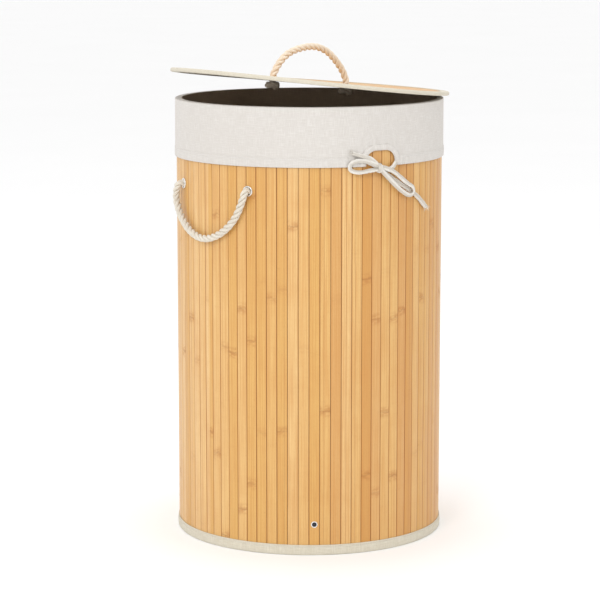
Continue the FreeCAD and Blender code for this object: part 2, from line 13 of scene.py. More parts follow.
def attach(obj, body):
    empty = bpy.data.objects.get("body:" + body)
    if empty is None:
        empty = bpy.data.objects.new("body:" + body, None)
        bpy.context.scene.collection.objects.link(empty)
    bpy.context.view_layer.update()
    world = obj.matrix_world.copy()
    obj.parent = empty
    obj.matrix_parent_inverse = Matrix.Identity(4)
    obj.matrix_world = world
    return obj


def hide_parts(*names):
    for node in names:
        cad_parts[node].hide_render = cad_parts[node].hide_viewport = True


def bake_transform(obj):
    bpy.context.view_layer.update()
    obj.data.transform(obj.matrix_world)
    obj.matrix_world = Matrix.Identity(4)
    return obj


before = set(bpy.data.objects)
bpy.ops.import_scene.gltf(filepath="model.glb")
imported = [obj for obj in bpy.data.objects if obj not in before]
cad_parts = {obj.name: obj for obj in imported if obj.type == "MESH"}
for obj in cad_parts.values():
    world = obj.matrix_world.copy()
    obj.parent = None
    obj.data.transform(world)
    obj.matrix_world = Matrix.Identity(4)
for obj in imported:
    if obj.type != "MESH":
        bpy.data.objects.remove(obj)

# Round laundry hamper: bamboo slat wall, lift-out cloth liner with a tied bow, rope handles and a
# loose slatted lid. Metres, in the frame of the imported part: the origin is the centre of the base
# on the floor, +Z up, with the rope handles at -X and +X and the bow near -Y.

LOG = logging.getLogger("hamper")
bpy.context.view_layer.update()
CLOTH_MAP = "cloth_lengths"
UP = Vector((0.0, 0.0, 1.0))
ANY_WAY = Vector((0.31, 0.52, 0.79))  # no cord or rope runs this way
MERGE_DISTANCE = 1e-6
CLEARANCE = 0.0001

Colour = tuple[float, float, float, float]
Socket = bpy.types.NodeSocket
Value = Union[float, Socket]
Pairs = list[tuple[float, float]]
Section = Sequence[tuple[float, float]]
Route = Sequence[tuple[float, float, float]]
Reshape = Callable[[Vector], Vector]
Swell = Callable[[Vector], float]

# ---- Shared sizes -------------------------------------------------------------------------------

WALL_RADIUS = 0.200
WALL_HEIGHT = 0.655
SLAT_STEP = math.radians(4.5)
LID_SLAT_STEP = 0.0155
FIRST_LID_STRIP = 400.0
BACKING_OUTER = 0.197757
BACKING_INNER = 0.197157
EYELET_HEIGHT = 0.534
EYELET_HALF_TURN = 21.0
HEM_BOTTOM = 0.5701
HEM_TOP = 0.5846
RIM_TOP = 0.6561
NOTCH_TURN = -102.0
LID_SEAT = 0.6565
LID_PIVOT = Vector((0.2031, 0.0, LID_SEAT))
LID_TILT = math.radians(6.1)
LID_SPAN = 0.4131
LID_RIGHT_TILT = math.radians(4.0)
LID_LEFT_TILT = math.radians(8.2)
LID_TWIST = math.radians(0.6)
ROPE_DIAMETER = 0.0108
KNOT_ROPE_RADIUS = 0.0050
KNOT_RADIUS = 0.0066
KNOT_CLIMB = 0.0026
KNOT_TURNS = 1.25


class StripLayout(Enum):
    """How a panel's bamboo strips are laid."""

    ROUND = "upright round the wall"
    FLAT = "side by side across the lid"


class Body(Enum):
    """The bodies that pieces ride on."""

    BASKET = "basket"
    LINER = "liner"
    LID = "lid"
    LID_HANDLE = "lid_handle"
    LEFT_HANDLE = "left_handle"
    RIGHT_HANDLE = "right_handle"


def tint(red: int, green: int, blue: int) -> Colour:
    """Linear colour from the three levels of a paint swatch.

    Args:
        red: Red level from 0 to 255.
        green: Green level from 0 to 255.
        blue: Blue level from 0 to 255.

    Returns:
        The colour with full opacity.
    """
    def linear(level: int) -> float:
        """One level on the linear scale."""
        share = level / 255.0
        return share / 12.92 if share <= 0.04045 else ((share + 0.055) / 1.055) ** 2.4

    return (linear(red), linear(green), linear(blue), 1.0)


def wall_point(turn: float, radius: float, height: float) -> Vector:
    """Point at a turn in degrees about the hamper's axis, a radius and a height."""
    angle = math.radians(turn)
    return Vector((radius * math.cos(angle), radius * math.sin(angle), height))


def ajar(point: Vector, tilt: float = LID_TILT) -> Vector:
    """Where a point of the closed lid is with the lid tipped about its resting line."""
    return Matrix.Rotation(tilt, 3, "Y") @ (point - LID_PIVOT) + LID_PIVOT


def resting(point: Vector) -> Vector:
    """Where a point of the closed lid is with the lid ajar, sagging a little under its weight.

    Args:
        point: Point of the closed lid.

    Returns:
        The same point of the tipped and slightly bent lid.
    """
    reach = LID_PIVOT.x - point.x
    share = min(1.05, max(-0.05, reach / LID_SPAN))
    tilt = LID_RIGHT_TILT + (LID_LEFT_TILT - LID_RIGHT_TILT) * share
    mean = (LID_RIGHT_TILT + tilt) / 2.0
    lift = point.z - LID_SEAT
    along = LID_PIVOT.x - reach * math.cos(mean) + lift * math.sin(tilt)
    height = LID_SEAT + reach * math.sin(mean) + lift * math.cos(tilt)
    return Vector((along, point.y, height + point.y * LID_TWIST))


def ease(share: float) -> float:
    """Smooth step of a share, held between 0 and 1."""
    held = min(1.0, max(0.0, share))
    return held * held * (3.0 - 2.0 * held)


def ripple(place: Vector, across: float, upward: float, seed: float) -> float:
    """Soft random swell from about 0 to 1, with so many swells a metre across and upward."""
    spot = Vector((place.x * across + seed, place.y * across - seed, place.z * upward))
    return 0.5 + 0.5 * noise.noise(spot)


# ---- Shader graphs ------------------------------------------------------------------------------

class Graph:
    """Short ways to add and join the nodes of one tree."""

    def __init__(self, tree: bpy.types.NodeTree) -> None:
        """Starts on a tree."""
        self.tree = tree

    def node(self, kind: str, **settings: object) -> bpy.types.Node:
        """Adds a node.

        Args:
            kind: Name of the node type.
            settings: Properties to set on it.

        Returns:
            The node.
        """
        made = self.tree.nodes.new(kind)
        for name, value in settings.items():
            setattr(made, name, value)
        return made

    def feed(self, socket: Socket, value: object) -> None:
        """Sets an input, or joins another node's output to it.

        Args:
            socket: The input.
            value: A number, colour, vector or output.
        """
        if isinstance(value, bpy.types.NodeSocket):
            self.tree.links.new(value, socket)
        else:
            socket.default_value = value

    def math(self, operation: str, *values: Value, clamp: bool = False) -> Socket:
        """Adds a Math node.

        Args:
            operation: The node's operation.
            values: Its inputs in order.
            clamp: Whether the result is held between 0 and 1.

        Returns:
            The result.
        """
        made = self.node("ShaderNodeMath", operation=operation, use_clamp=clamp)
        for socket, value in zip(made.inputs, values):
            self.feed(socket, value)
        return made.outputs[0]

    def plus(self, first: Value, second: Value, clamp: bool = False) -> Socket:
        """Sum of two numbers, held between 0 and 1 if it is clamped."""
        return self.math("ADD", first, second, clamp=clamp)

    def times(self, first: Value, second: Value) -> Socket:
        """Product of two numbers."""
        return self.math("MULTIPLY", first, second)

    def apart(self, first: Value, second: Value) -> Socket:
        """How far two numbers are from each other."""
        return self.math("ABSOLUTE", self.math("SUBTRACT", first, second))

    def fade(self, value: Value, start: float, end: float, low: float, high: float) -> Socket:
        """Smooth change from one level to another as a value goes from start to end.

        Args:
            value: What is read.
            start: Where the change starts.
            end: Where it ends.
            low: Level at the start.
            high: Level at the end.

        Returns:
            The level.
        """
        made = self.node("ShaderNodeMapRange", interpolation_type="SMOOTHSTEP")
        for name, entry in (("Value", value), ("From Min", start), ("From Max", end),
                            ("To Min", low), ("To Max", high)):
            self.feed(made.inputs[name], entry)
        return made.outputs["Result"]

    def mix(self, share: Value, first: object, second: object, blend: str = "MIX") -> Socket:
        """Mixes two colours.

        Args:
            share: How much of the second colour shows.
            first: First colour.
            second: Second colour.
            blend: Name of the way to mix.

        Returns:
            The mixed colour.
        """
        made = self.node("ShaderNodeMix", data_type="RGBA", blend_type=blend)
        self.feed(made.inputs[0], share)
        self.feed(made.inputs[6], first)
        self.feed(made.inputs[7], second)
        return made.outputs[2]

    def point(self, across: Value, along: Value, depth: Value = 0.0) -> Socket:
        """Vector from three numbers.

        Args:
            across: First number.
            along: Second number.
            depth: Third number.

        Returns:
            The vector.
        """
        made = self.node("ShaderNodeCombineXYZ")
        for socket, value in zip(made.inputs, (across, along, depth)):
            self.feed(socket, value)
        return made.outputs[0]

    def parts(self, vector: Socket) -> tuple[Socket, Socket, Socket]:
        """The three numbers of a vector."""
        made = self.node("ShaderNodeSeparateXYZ")
        self.feed(made.inputs[0], vector)
        return made.outputs[0], made.outputs[1], made.outputs[2]

    def cloud(self, vector: Value, scale: float, detail: float = 2.0) -> Socket:
        """Soft noise from 0 to 1.

        Args:
            vector: Where it is read.
            scale: Swells for each unit.
            detail: Levels of finer noise.

        Returns:
            The noise.
        """
        made = self.node("ShaderNodeTexNoise")
        self.feed(made.inputs["Vector"], vector)
        self.feed(made.inputs["Scale"], scale)
        self.feed(made.inputs["Detail"], detail)
        return made.outputs["Fac"]

    def streaks(self, across: Value, along: Value, stretch: tuple[float, float], detail: float,
                depth: Value = 0.0) -> Socket:
        """Soft noise drawn out one way; stretch is the swells for each unit across and along."""
        spot = self.point(self.times(across, stretch[0]), self.times(along, stretch[1]), depth)
        return self.cloud(spot, 1.0, detail)

    def chance(self, number: Value, shift: float) -> Socket:
        """Random number from 0 to 1, the same for the same whole number and shift."""
        made = self.node("ShaderNodeTexWhiteNoise", noise_dimensions="1D")
        self.feed(made.inputs["W"], self.plus(number, shift))
        return made.outputs["Value"]


def shared_effect(name: str, takes: Sequence[tuple[str, str]], gives: Sequence[tuple[str, str]],
                  fill: Callable[[Graph, dict[str, Socket]], dict[str, Socket]]) -> bpy.types.NodeTree:
    """Node group that several materials use, built once.

    Args:
        name: Name of the group.
        takes: Name and kind of each input.
        gives: Name and kind of each output.
        fill: Builds the inside from the inputs and returns the outputs by name.

    Returns:
        The group.
    """
    found = bpy.data.node_groups.get(name)
    if found:
        return found
    tree = bpy.data.node_groups.new(name, "ShaderNodeTree")
    for label, kind in takes:
        tree.interface.new_socket(label, in_out="INPUT", socket_type="NodeSocket" + kind)
    for label, kind in gives:
        tree.interface.new_socket(label, in_out="OUTPUT", socket_type="NodeSocket" + kind)
    graph = Graph(tree)
    inlet = graph.node("NodeGroupInput")
    outlet = graph.node("NodeGroupOutput")
    results = fill(graph, {label: inlet.outputs[label] for label, _ in takes})
    for label, _ in gives:
        graph.feed(outlet.inputs[label], results[label])
    return tree


def woven_threads() -> bpy.types.NodeTree:
    """Plain weave with uneven threads: cloth lengths in, height and shade out; the shade is painted
    shade in the dips between threads, lightened at the slubs.
    """
    slub_long, slub_short = 70.0, 1100.0
    weft_slubs = (slub_long, slub_short)
    warp_slubs = (slub_short, slub_long)

    def thread_set(graph: Graph, length: Socket, thread: Socket,
                   sway: Socket) -> tuple[Socket, Socket]:
        """Rounded height of one set of threads, and the number of each thread."""
        count = graph.plus(graph.math("DIVIDE", length, thread), sway)
        rounded = graph.math("ABSOLUTE", graph.math("SINE", graph.times(count, math.pi)))
        return rounded, graph.math("FLOOR", count)

    def fill(graph: Graph, inlet: dict[str, Socket]) -> dict[str, Socket]:
        """Crossing threads, thick places and slubs."""
        across, along, _ = graph.parts(inlet["Cloth"])
        sway = graph.times(graph.cloud(inlet["Cloth"], 160.0), 0.7)
        over_warp, warp = thread_set(graph, across, inlet["Thread"], sway)
        over_weft, weft = thread_set(graph, along, inlet["Thread"], sway)
        turn = graph.math("PINGPONG", graph.plus(warp, weft), 1.0)
        threads = graph.plus(graph.times(over_warp, turn),
                             graph.times(over_weft, graph.math("SUBTRACT", 1.0, turn)))
        thick = [graph.fade(graph.streaks(across, along, stretch, 3.0, depth), 0.42, 0.72, 0.0, 0.5)
                 for stretch, depth in ((weft_slubs, 0.0), (warp_slubs, 7.0))]
        slubs = graph.times(graph.plus(*thick), inlet["Slubs"])
        height = graph.plus(graph.times(threads, 0.6), slubs)
        # Painted shade in the dips between threads, with the slubs' own lighter tone.
        shade = graph.plus(graph.times(threads, 0.35), slubs, clamp=True)
        return {"Height": height, "Shade": shade}

    return shared_effect("woven threads",
                         (("Cloth", "Vector"), ("Thread", "Float"), ("Slubs", "Float")),
                         (("Height", "Float"), ("Shade", "Float")), fill)


def stitch_row() -> bpy.types.NodeTree:
    """One row of straight machine stitches across the cloth: mask and height out."""
    def fill(graph: Graph, inlet: dict[str, Socket]) -> dict[str, Socket]:
        """Dashes of thread, each in its own dip."""
        across, along, _ = graph.parts(inlet["Cloth"])
        widths_off = graph.math("DIVIDE", graph.apart(along, inlet["Row"]), inlet["Width"])
        share = graph.math("FRACT", graph.math("DIVIDE", across, inlet["Stitch"]))
        dash = graph.fade(graph.apart(share, 0.5), 0.34, 0.42, 1.0, 0.0)
        line = graph.fade(widths_off, 0.35, 0.6, 1.0, 0.0)
        dip = graph.fade(widths_off, 0.4, 2.4, 1.0, 0.0)
        mask = graph.times(dash, line)
        return {"Mask": mask, "Height": graph.math("SUBTRACT", graph.times(mask, 1.2), dip)}

    return shared_effect("stitch row",
                         (("Cloth", "Vector"), ("Row", "Float"), ("Stitch", "Float"),
                          ("Width", "Float")),
                         (("Mask", "Float"), ("Height", "Float")), fill)


def handled_marks() -> bpy.types.NodeTree:
    """Faint uneven toning that use and daylight leave: mask out."""
    def fill(graph: Graph, inlet: dict[str, Socket]) -> dict[str, Socket]:
        """Broad clouds broken up by finer ones."""
        broad = graph.cloud(inlet["Place"], 7.0, 3.0)
        fine = graph.cloud(inlet["Place"], 55.0, 2.0)
        both = graph.plus(graph.times(broad, 0.7), graph.times(fine, 0.3))
        return {"Mask": graph.times(graph.fade(both, 0.38, 0.68, 0.0, 1.0), inlet["Amount"])}

    return shared_effect("handled marks", (("Place", "Vector"), ("Amount", "Float")),
                         (("Mask", "Float"),), fill)


def spun_fibres() -> bpy.types.NodeTree:
    """Fine fibres along a strand or cord: height and shade out."""
    fine_fibres = (2600.0, 120.0)
    yarn_turns = 9000.0

    def fill(graph: Graph, inlet: dict[str, Socket]) -> dict[str, Socket]:
        """Long thin noise that slants across the strand."""
        round_it, along, _ = graph.parts(inlet["Cord"])
        slant = graph.plus(round_it, graph.times(along, inlet["Slant"]))
        threads = graph.streaks(slant, along, fine_fibres, 3.0)
        yarns = graph.math("SINE", graph.times(slant, yarn_turns))
        height = graph.plus(threads, graph.times(yarns, 0.16))
        return {"Height": height, "Shade": graph.fade(threads, 0.3, 0.7, 0.0, 1.0)}

    return shared_effect("spun fibres", (("Cord", "Vector"), ("Slant", "Float")),
                         (("Height", "Float"), ("Shade", "Float")), fill)


class StripChoice(Enum):
    """Random choices made for each bamboo strip, each with a shift that keeps it independent."""

    TONE = 0.3
    AMBER = 5.7
    NODE_SPACING = 2.1
    FIRST_NODE = 9.4
    NODE_STRENGTH = 4.4
    EDGE_GAP = 6.6
    SPLIT_PLACE = 8.8
    SPLIT = 3.9


def growth_rings(graph: Graph, strip: Socket, across: Socket,
                 along: Socket) -> tuple[Socket, Socket]:
    """Dark scar and broken brown halo at each growth ring of a strip.

    Args:
        graph: The group's nodes.
        strip: Number of the strip.
        across: Place across it, from 0 to 1.
        along: Metres along it.

    Returns:
        The masks of the scars and of the halos.
    """
    spacing = graph.plus(0.20, graph.times(graph.chance(strip, StripChoice.NODE_SPACING.value), 0.16))
    waver = graph.cloud(graph.point(graph.times(across, 2.0), strip), 1.0)
    bent = graph.plus(along, graph.times(waver, 0.012))
    climb = graph.plus(graph.math("DIVIDE", bent, spacing),
                       graph.times(graph.chance(strip, StripChoice.FIRST_NODE.value), 7.0))
    off = graph.times(graph.apart(graph.math("FRACT", climb), 0.5), spacing)
    number = graph.plus(graph.math("FLOOR", climb), graph.times(strip, 13.0))
    strong = graph.fade(graph.chance(number, StripChoice.NODE_STRENGTH.value), 0.25, 0.95, 0.1, 1.0)
    scar = graph.times(graph.fade(off, 0.0003, 0.0018, 1.0, 0.0), strong)
    broken = graph.streaks(across, along, (1.7, 230.0), 4.0, number)
    halo = graph.times(graph.times(graph.fade(off, 0.002, 0.012, 1.0, 0.0), strong),
                       graph.fade(broken, 0.38, 0.58, 0.15, 1.0))
    return scar, halo


def bamboo_strip() -> bpy.types.NodeTree:
    """Planed bamboo: strip number, place across and along it in; colour, roughness, height out."""
    grain_stretch, fibre_stretch, fleck_stretch = (9.0, 5.0), (34.0, 14.0), (46.0, 190.0)

    def fill(graph: Graph, inlet: dict[str, Socket]) -> dict[str, Socket]:
        """Strip tone, grain, flecks, growth rings, a split line and darker edges."""
        strip, across, along = inlet["Strip"], inlet["Across"], inlet["Along"]

        def choice(kind: StripChoice) -> Socket:
            """Random number from 0 to 1 for one choice about the strip."""
            return graph.chance(strip, kind.value)

        grain = graph.streaks(across, along, grain_stretch, 4.0, strip)
        fibres = graph.streaks(across, along, fibre_stretch, 3.0, strip)
        flecks = graph.streaks(across, along, fleck_stretch, 2.0, strip)
        scar, halo = growth_rings(graph, strip, across, along)
        edge = graph.times(graph.fade(graph.apart(across, 0.5), 0.40, 0.485, 0.0, 1.0),
                           graph.fade(choice(StripChoice.EDGE_GAP), 0.0, 1.0, 0.25, 0.75))
        split_at = graph.plus(0.3, graph.times(choice(StripChoice.SPLIT_PLACE), 0.4))
        split = graph.times(graph.fade(graph.apart(across, split_at), 0.008, 0.03, 1.0, 0.0),
                            graph.math("GREATER_THAN", choice(StripChoice.SPLIT), 0.62))

        body = graph.mix(choice(StripChoice.TONE), inlet["Pale"], inlet["Golden"])
        for share, tone in (
            (graph.fade(choice(StripChoice.AMBER), 0.60, 0.98, 0.0, 0.60), "Amber"),
            (graph.fade(grain, 0.36, 0.66, 0.0, 0.52), "Amber"),
            (graph.fade(fibres, 0.46, 0.70, 0.0, 0.42), "Amber"),
            (graph.fade(flecks, 0.60, 0.72, 0.0, 0.42), "Brown"),
            (graph.times(halo, 0.5), "Brown"),
            (graph.times(scar, 0.2), "Dark"),
            (edge, "Brown"),
            (graph.times(split, 0.6), "Brown"),
        ):
            body = graph.mix(share, body, inlet[tone])

        height = graph.plus(graph.times(fibres, 0.5), graph.times(grain, 0.5))
        height = graph.plus(height, graph.times(scar, 0.9))
        height = graph.math("SUBTRACT", height, graph.times(split, 1.6))
        rough = graph.plus(inlet["Roughness"], graph.times(fibres, 0.16))
        rough = graph.plus(rough, graph.times(halo, 0.15), clamp=True)
        return {"Color": body, "Roughness": rough, "Height": height}

    return shared_effect("bamboo strip",
                         (("Strip", "Float"), ("Across", "Float"), ("Along", "Float"),
                          ("Pale", "Color"), ("Golden", "Color"), ("Amber", "Color"),
                          ("Brown", "Color"), ("Dark", "Color"), ("Roughness", "Float")),
                         (("Color", "Color"), ("Roughness", "Float"), ("Height", "Float")), fill)


# ---- Finishes -----------------------------------------------------------------------------------

@dataclass(frozen=True)
class Finish:
    """A finish that pieces are made in, with the record's slot that it belongs to."""

    name: str
    slot: str

    def dress(self, graph: Graph, shader: bpy.types.Node) -> None:
        """Joins the finish's colour, roughness and relief to the shader."""
        raise NotImplementedError

    def material(self) -> bpy.types.Material:
        """The finish's material, made the first time it is asked for."""
        found = bpy.data.materials.get(self.name)
        if found:
            return found
        made = bpy.data.materials.new(self.name)
        made.use_nodes = True
        self.dress(Graph(made.node_tree), made.node_tree.nodes["Principled BSDF"])
        return made

    def relief(self, graph: Graph, shader: bpy.types.Node, height: Socket, depth: float,
               strength: float) -> None:
        """Joins a height to the shader as relief.

        Args:
            graph: The material's nodes.
            shader: Its shader.
            height: The height.
            depth: How deep a height of 1 is, in metres.
            strength: How strongly it shows.
        """
        bump = graph.node("ShaderNodeBump")
        bump.inputs["Strength"].default_value = strength
        bump.inputs["Distance"].default_value = depth
        graph.feed(bump.inputs["Height"], height)
        graph.feed(shader.inputs["Normal"], bump.outputs["Normal"])

    def effect(self, graph: Graph, tree: bpy.types.NodeTree, **values: object) -> bpy.types.Node:
        """Places a shared effect in the material.

        Args:
            graph: The material's nodes.
            tree: The effect's group.
            values: Its inputs, with underscores for spaces.

        Returns:
            The placed group.
        """
        placed = graph.node("ShaderNodeGroup", node_tree=tree)
        for label, value in values.items():
            graph.feed(placed.inputs[label], value)
        return placed

    def place(self, graph: Graph) -> Socket:
        """Where the surface point is on the resting object."""
        return graph.node("ShaderNodeTexCoord").outputs["Object"]

    def lengths(self, graph: Graph) -> Socket:
        """The cloth lengths that the mesh carries."""
        return graph.node("ShaderNodeUVMap", uv_map=CLOTH_MAP).outputs["UV"]


@dataclass(frozen=True)
class BambooFinish(Finish):
    """Varnished bamboo strips."""

    layout: StripLayout = StripLayout.ROUND
    pale: Colour = tint(230, 194, 135)
    golden: Colour = tint(214, 168, 92)
    amber: Colour = tint(196, 136, 66)
    brown: Colour = tint(170, 105, 44)
    dark: Colour = tint(110, 66, 30)
    roughness: float = 0.36
    varnish: float = 0.12
    marks: float = 0.26

    def dress(self, graph: Graph, shader: bpy.types.Node) -> None:
        """Numbers the strips by their place, then tones each one."""
        x, y, z = graph.parts(self.place(graph))
        if self.layout is StripLayout.ROUND:
            turns = graph.math("DIVIDE", graph.math("ARCTAN2", y, x), SLAT_STEP)
            along = z
        else:
            turns = graph.plus(graph.math("DIVIDE", y, LID_SLAT_STEP), FIRST_LID_STRIP)
            along = x
        shifted = graph.plus(turns, 0.5)
        strip = graph.math("FLOOR", shifted)
        across = graph.math("FRACT", shifted)
        wood = self.effect(graph, bamboo_strip(), Strip=strip, Across=across, Along=along,
                           Pale=self.pale, Golden=self.golden, Amber=self.amber,
                           Brown=self.brown, Dark=self.dark, Roughness=self.roughness)
        marks = self.effect(graph, handled_marks(), Place=self.place(graph), Amount=self.marks)
        colour = graph.mix(marks.outputs["Mask"], wood.outputs["Color"], self.amber)
        graph.feed(shader.inputs["Base Color"], colour)
        graph.feed(shader.inputs["Roughness"], wood.outputs["Roughness"])
        shader.inputs["Coat Weight"].default_value = self.varnish
        shader.inputs["Coat Roughness"].default_value = 0.3
        self.relief(graph, shader, wood.outputs["Height"], 0.0003, 0.6)


@dataclass(frozen=True)
class ClothFinish(Finish):
    """Woven cotton or linen, with its rows of stitches."""

    light: Colour = tint(229, 226, 222)
    deep: Colour = tint(200, 194, 187)
    thread: float = 0.0009
    slubs: float = 0.6
    roughness: float = 0.85
    rows: tuple[float, ...] = ()
    stitch: float = 0.0034
    stitch_width: float = 0.0007
    marks: float = 0.2

    def dress(self, graph: Graph, shader: bpy.types.Node) -> None:
        """Weave with painted shade between its threads, toning and stitches."""
        lengths = self.lengths(graph)
        weave = self.effect(graph, woven_threads(), Cloth=lengths, Thread=self.thread,
                            Slubs=self.slubs)
        marks = self.effect(graph, handled_marks(), Place=self.place(graph), Amount=self.marks)
        # The dips between threads take the deep colour: painted shade.
        toned = graph.mix(weave.outputs["Shade"], self.deep, self.light)
        colour = graph.mix(marks.outputs["Mask"], toned, self.deep)
        height = weave.outputs["Height"]
        for row in self.rows:
            stitches = self.effect(graph, stitch_row(), Cloth=lengths, Row=row,
                                   Stitch=self.stitch, Width=self.stitch_width)
            colour = graph.mix(graph.times(stitches.outputs["Mask"], 0.5), colour, self.light)
            height = graph.plus(height, graph.times(stitches.outputs["Height"], 1.5))
        rough = graph.fade(weave.outputs["Shade"], 0.0, 1.0, self.roughness + 0.08, self.roughness)
        graph.feed(shader.inputs["Base Color"], colour)
        graph.feed(shader.inputs["Roughness"], rough)
        shader.inputs["Sheen Weight"].default_value = 0.12
        shader.inputs["Sheen Roughness"].default_value = 0.6
        shader.inputs["Specular IOR Level"].default_value = 0.25
        self.relief(graph, shader, height, self.thread * 0.3, 0.7)


@dataclass(frozen=True)
class RopeFinish(Finish):
    """Spun cotton, with painted shade where a strand turns in against its neighbours."""

    light: Colour = tint(238, 232, 220)
    deep: Colour = tint(220, 211, 195)
    groove_shade: Colour = tint(186, 168, 142)
    slant: float = 0.45
    groove_shade_strength: float = 0.7
    girth: float = 0.016
    marks: float = 0.3

    def dress(self, graph: Graph, shader: bpy.types.Node) -> None:
        """Fibres, toning and painted shade in the grooves."""
        lengths = self.lengths(graph)
        round_it, _, _ = graph.parts(lengths)
        fibres = self.effect(graph, spun_fibres(), Cord=lengths, Slant=self.slant)
        marks = self.effect(graph, handled_marks(), Place=self.place(graph), Amount=self.marks)
        toned = graph.mix(fibres.outputs["Shade"], self.deep, self.light)
        toned = graph.mix(marks.outputs["Mask"], toned, self.deep)
        # Painted shade: the part of each round that turns in, against the neighbouring strands on a laid
        # rope, is mixed towards the groove colour.
        turn = graph.times(graph.math("DIVIDE", round_it, self.girth), math.tau)
        inward = graph.fade(graph.math("COSINE", turn), 0.15, -0.55, 0.0, self.groove_shade_strength)
        graph.feed(shader.inputs["Base Color"], graph.mix(inward, toned, self.groove_shade))
        graph.feed(shader.inputs["Roughness"],
                   graph.fade(fibres.outputs["Shade"], 0.0, 1.0, 0.95, 0.8))
        shader.inputs["Sheen Weight"].default_value = 0.2
        shader.inputs["Specular IOR Level"].default_value = 0.2
        self.relief(graph, shader, fibres.outputs["Height"], 0.0005, 0.8)


@dataclass(frozen=True)
class MetalFinish(Finish):
    """Plated metal with fine turning lines and a little tarnish."""

    bright: Colour = tint(247, 247, 246)
    dull: Colour = tint(214, 212, 208)
    roughness: float = 0.22
    tarnish: float = 0.6

    def dress(self, graph: Graph, shader: bpy.types.Node) -> None:
        """Clouded brightness over fine lines."""
        place = self.place(graph)
        lines = graph.cloud(place, 900.0, 2.0)
        marks = self.effect(graph, handled_marks(), Place=place, Amount=self.tarnish)
        graph.feed(shader.inputs["Base Color"],
                   graph.mix(marks.outputs["Mask"], self.bright, self.dull))
        graph.feed(shader.inputs["Roughness"],
                   graph.fade(lines, 0.2, 0.8, self.roughness, self.roughness + 0.14))
        shader.inputs["Metallic"].default_value = 1.0
        self.relief(graph, shader, lines, 0.00005, 0.3)


@dataclass(frozen=True)
class BoardFinish(Finish):
    """Pressed brown fibreboard."""

    light: Colour = tint(150, 118, 84)
    deep: Colour = tint(98, 72, 48)

    def dress(self, graph: Graph, shader: bpy.types.Node) -> None:
        """Matted fibres in two tones."""
        place = self.place(graph)
        fibres = graph.cloud(place, 420.0, 4.0)
        clumps = graph.cloud(place, 60.0, 3.0)
        both = graph.plus(graph.times(fibres, 0.6), graph.times(clumps, 0.4))
        graph.feed(shader.inputs["Base Color"],
                   graph.mix(graph.fade(both, 0.35, 0.65, 0.0, 1.0), self.deep, self.light))
        graph.feed(shader.inputs["Roughness"], graph.fade(fibres, 0.2, 0.8, 0.7, 0.9))
        self.relief(graph, shader, both, 0.0003, 0.6)


@dataclass(frozen=True)
class FloorFinish(Finish):
    """Plain pale floor with a barely uneven surface."""

    light: Colour = tint(252, 252, 252)
    deep: Colour = tint(249, 249, 249)

    def dress(self, graph: Graph, shader: bpy.types.Node) -> None:
        """Very soft clouds."""
        clouds = graph.cloud(self.place(graph), 1.5, 2.0)
        graph.feed(shader.inputs["Base Color"], graph.mix(clouds, self.light, self.deep))
        graph.feed(shader.inputs["Roughness"], graph.fade(clouds, 0.0, 1.0, 0.75, 0.85))


WALL_BAMBOO = BambooFinish("wall bamboo", "bamboo")
LID_BAMBOO = BambooFinish("lid bamboo", "bamboo", layout=StripLayout.FLAT)
CUFF_CLOTH = ClothFinish("cuff linen", "liner_cloth")
HEM_CLOTH = ClothFinish("hem linen", "liner_cloth", rows=(0.0133,))
# The bag is the cuff's cloth tinted darker and browner: painted shade of the hamper's dim inside, with
# warm bounce light from the bamboo.
SHADED_BAG_CLOTH = ClothFinish("bag cotton in painted shade", "liner_cloth", light=tint(212, 194, 172),
                        deep=tint(176, 155, 131), thread=0.001, marks=0.3)
# The lid's lining is the liner's cloth tinted darker: painted shade under the lid.
SHADED_LINING_CLOTH = ClothFinish("lid lining in painted shade", "liner_cloth", light=tint(186, 168, 146),
                           deep=tint(150, 130, 108), thread=0.001)
BACKING_CLOTH = ClothFinish("backing cloth", "backing_cloth", light=tint(190, 146, 94),
                            deep=tint(146, 104, 60), thread=0.0012)
BINDING_TAPE = ClothFinish("binding tape", "binding_tape", light=tint(230, 224, 209),
                           deep=tint(200, 192, 172), thread=0.0015, slubs=0.7, rows=(0.003,))
NOTCH_TAPE = ClothFinish("notch tape", "binding_tape", light=tint(232, 229, 225),
                         deep=tint(200, 194, 187))
# The groove colours of the ropes and of the bow's cord are painted shade.
SIDE_ROPE = RopeFinish("side rope cotton", "rope")
LID_ROPE = RopeFinish("lid rope cotton", "rope", light=tint(246, 236, 220),
                      deep=tint(236, 218, 192), groove_shade=tint(210, 176, 136))
BOW_COTTON = RopeFinish("bow cotton", "drawstring", light=tint(236, 233, 227),
                        deep=tint(212, 206, 196), groove_shade=tint(186, 177, 163), slant=0.15,
                        groove_shade_strength=0.5, girth=0.013)
PLATED = MetalFinish("plated eyelet", "eyelet_metal")
HOOP_WIRE = MetalFinish("hoop wire", "hoop_steel", bright=tint(170, 170, 172),
                        dull=tint(110, 106, 102), roughness=0.4)
# Dark disc in each foot rivet's bore: painted shade of the hollow rivet's hole.
RIVET_HOLE_SHADE = MetalFinish("rivet hole painted shade", "eyelet_metal", bright=tint(72, 74, 80),
                         dull=tint(44, 45, 50), roughness=0.5)
FIBREBOARD = BoardFinish("fibreboard", "fibreboard")
FLOOR = FloorFinish("studio floor", "")


# ---- Meshes -------------------------------------------------------------------------------------

SOFT_EDGE = 60.0
HARD_EDGE = 30.0
SLAT_CORNER = math.radians(50.0)
SLAT_EASE = 0.00035
SLAT_CUT_REACH = 0.2
SLAT_CUTS = 21
ROUTE_FINENESS = 24


def running_lengths(points: Sequence[Vector], closed: bool) -> list[float]:
    """Distance along a row of points, up to each one.

    Args:
        points: The row.
        closed: Whether the last point joins the first.

    Returns:
        One length a point, and one more for the return to the first point if closed.
    """
    lengths = [0.0]
    following = list(points[1:]) + (list(points[:1]) if closed else [])
    for before, after in zip(points, following):
        lengths.append(lengths[-1] + (after - before).length)
    return lengths


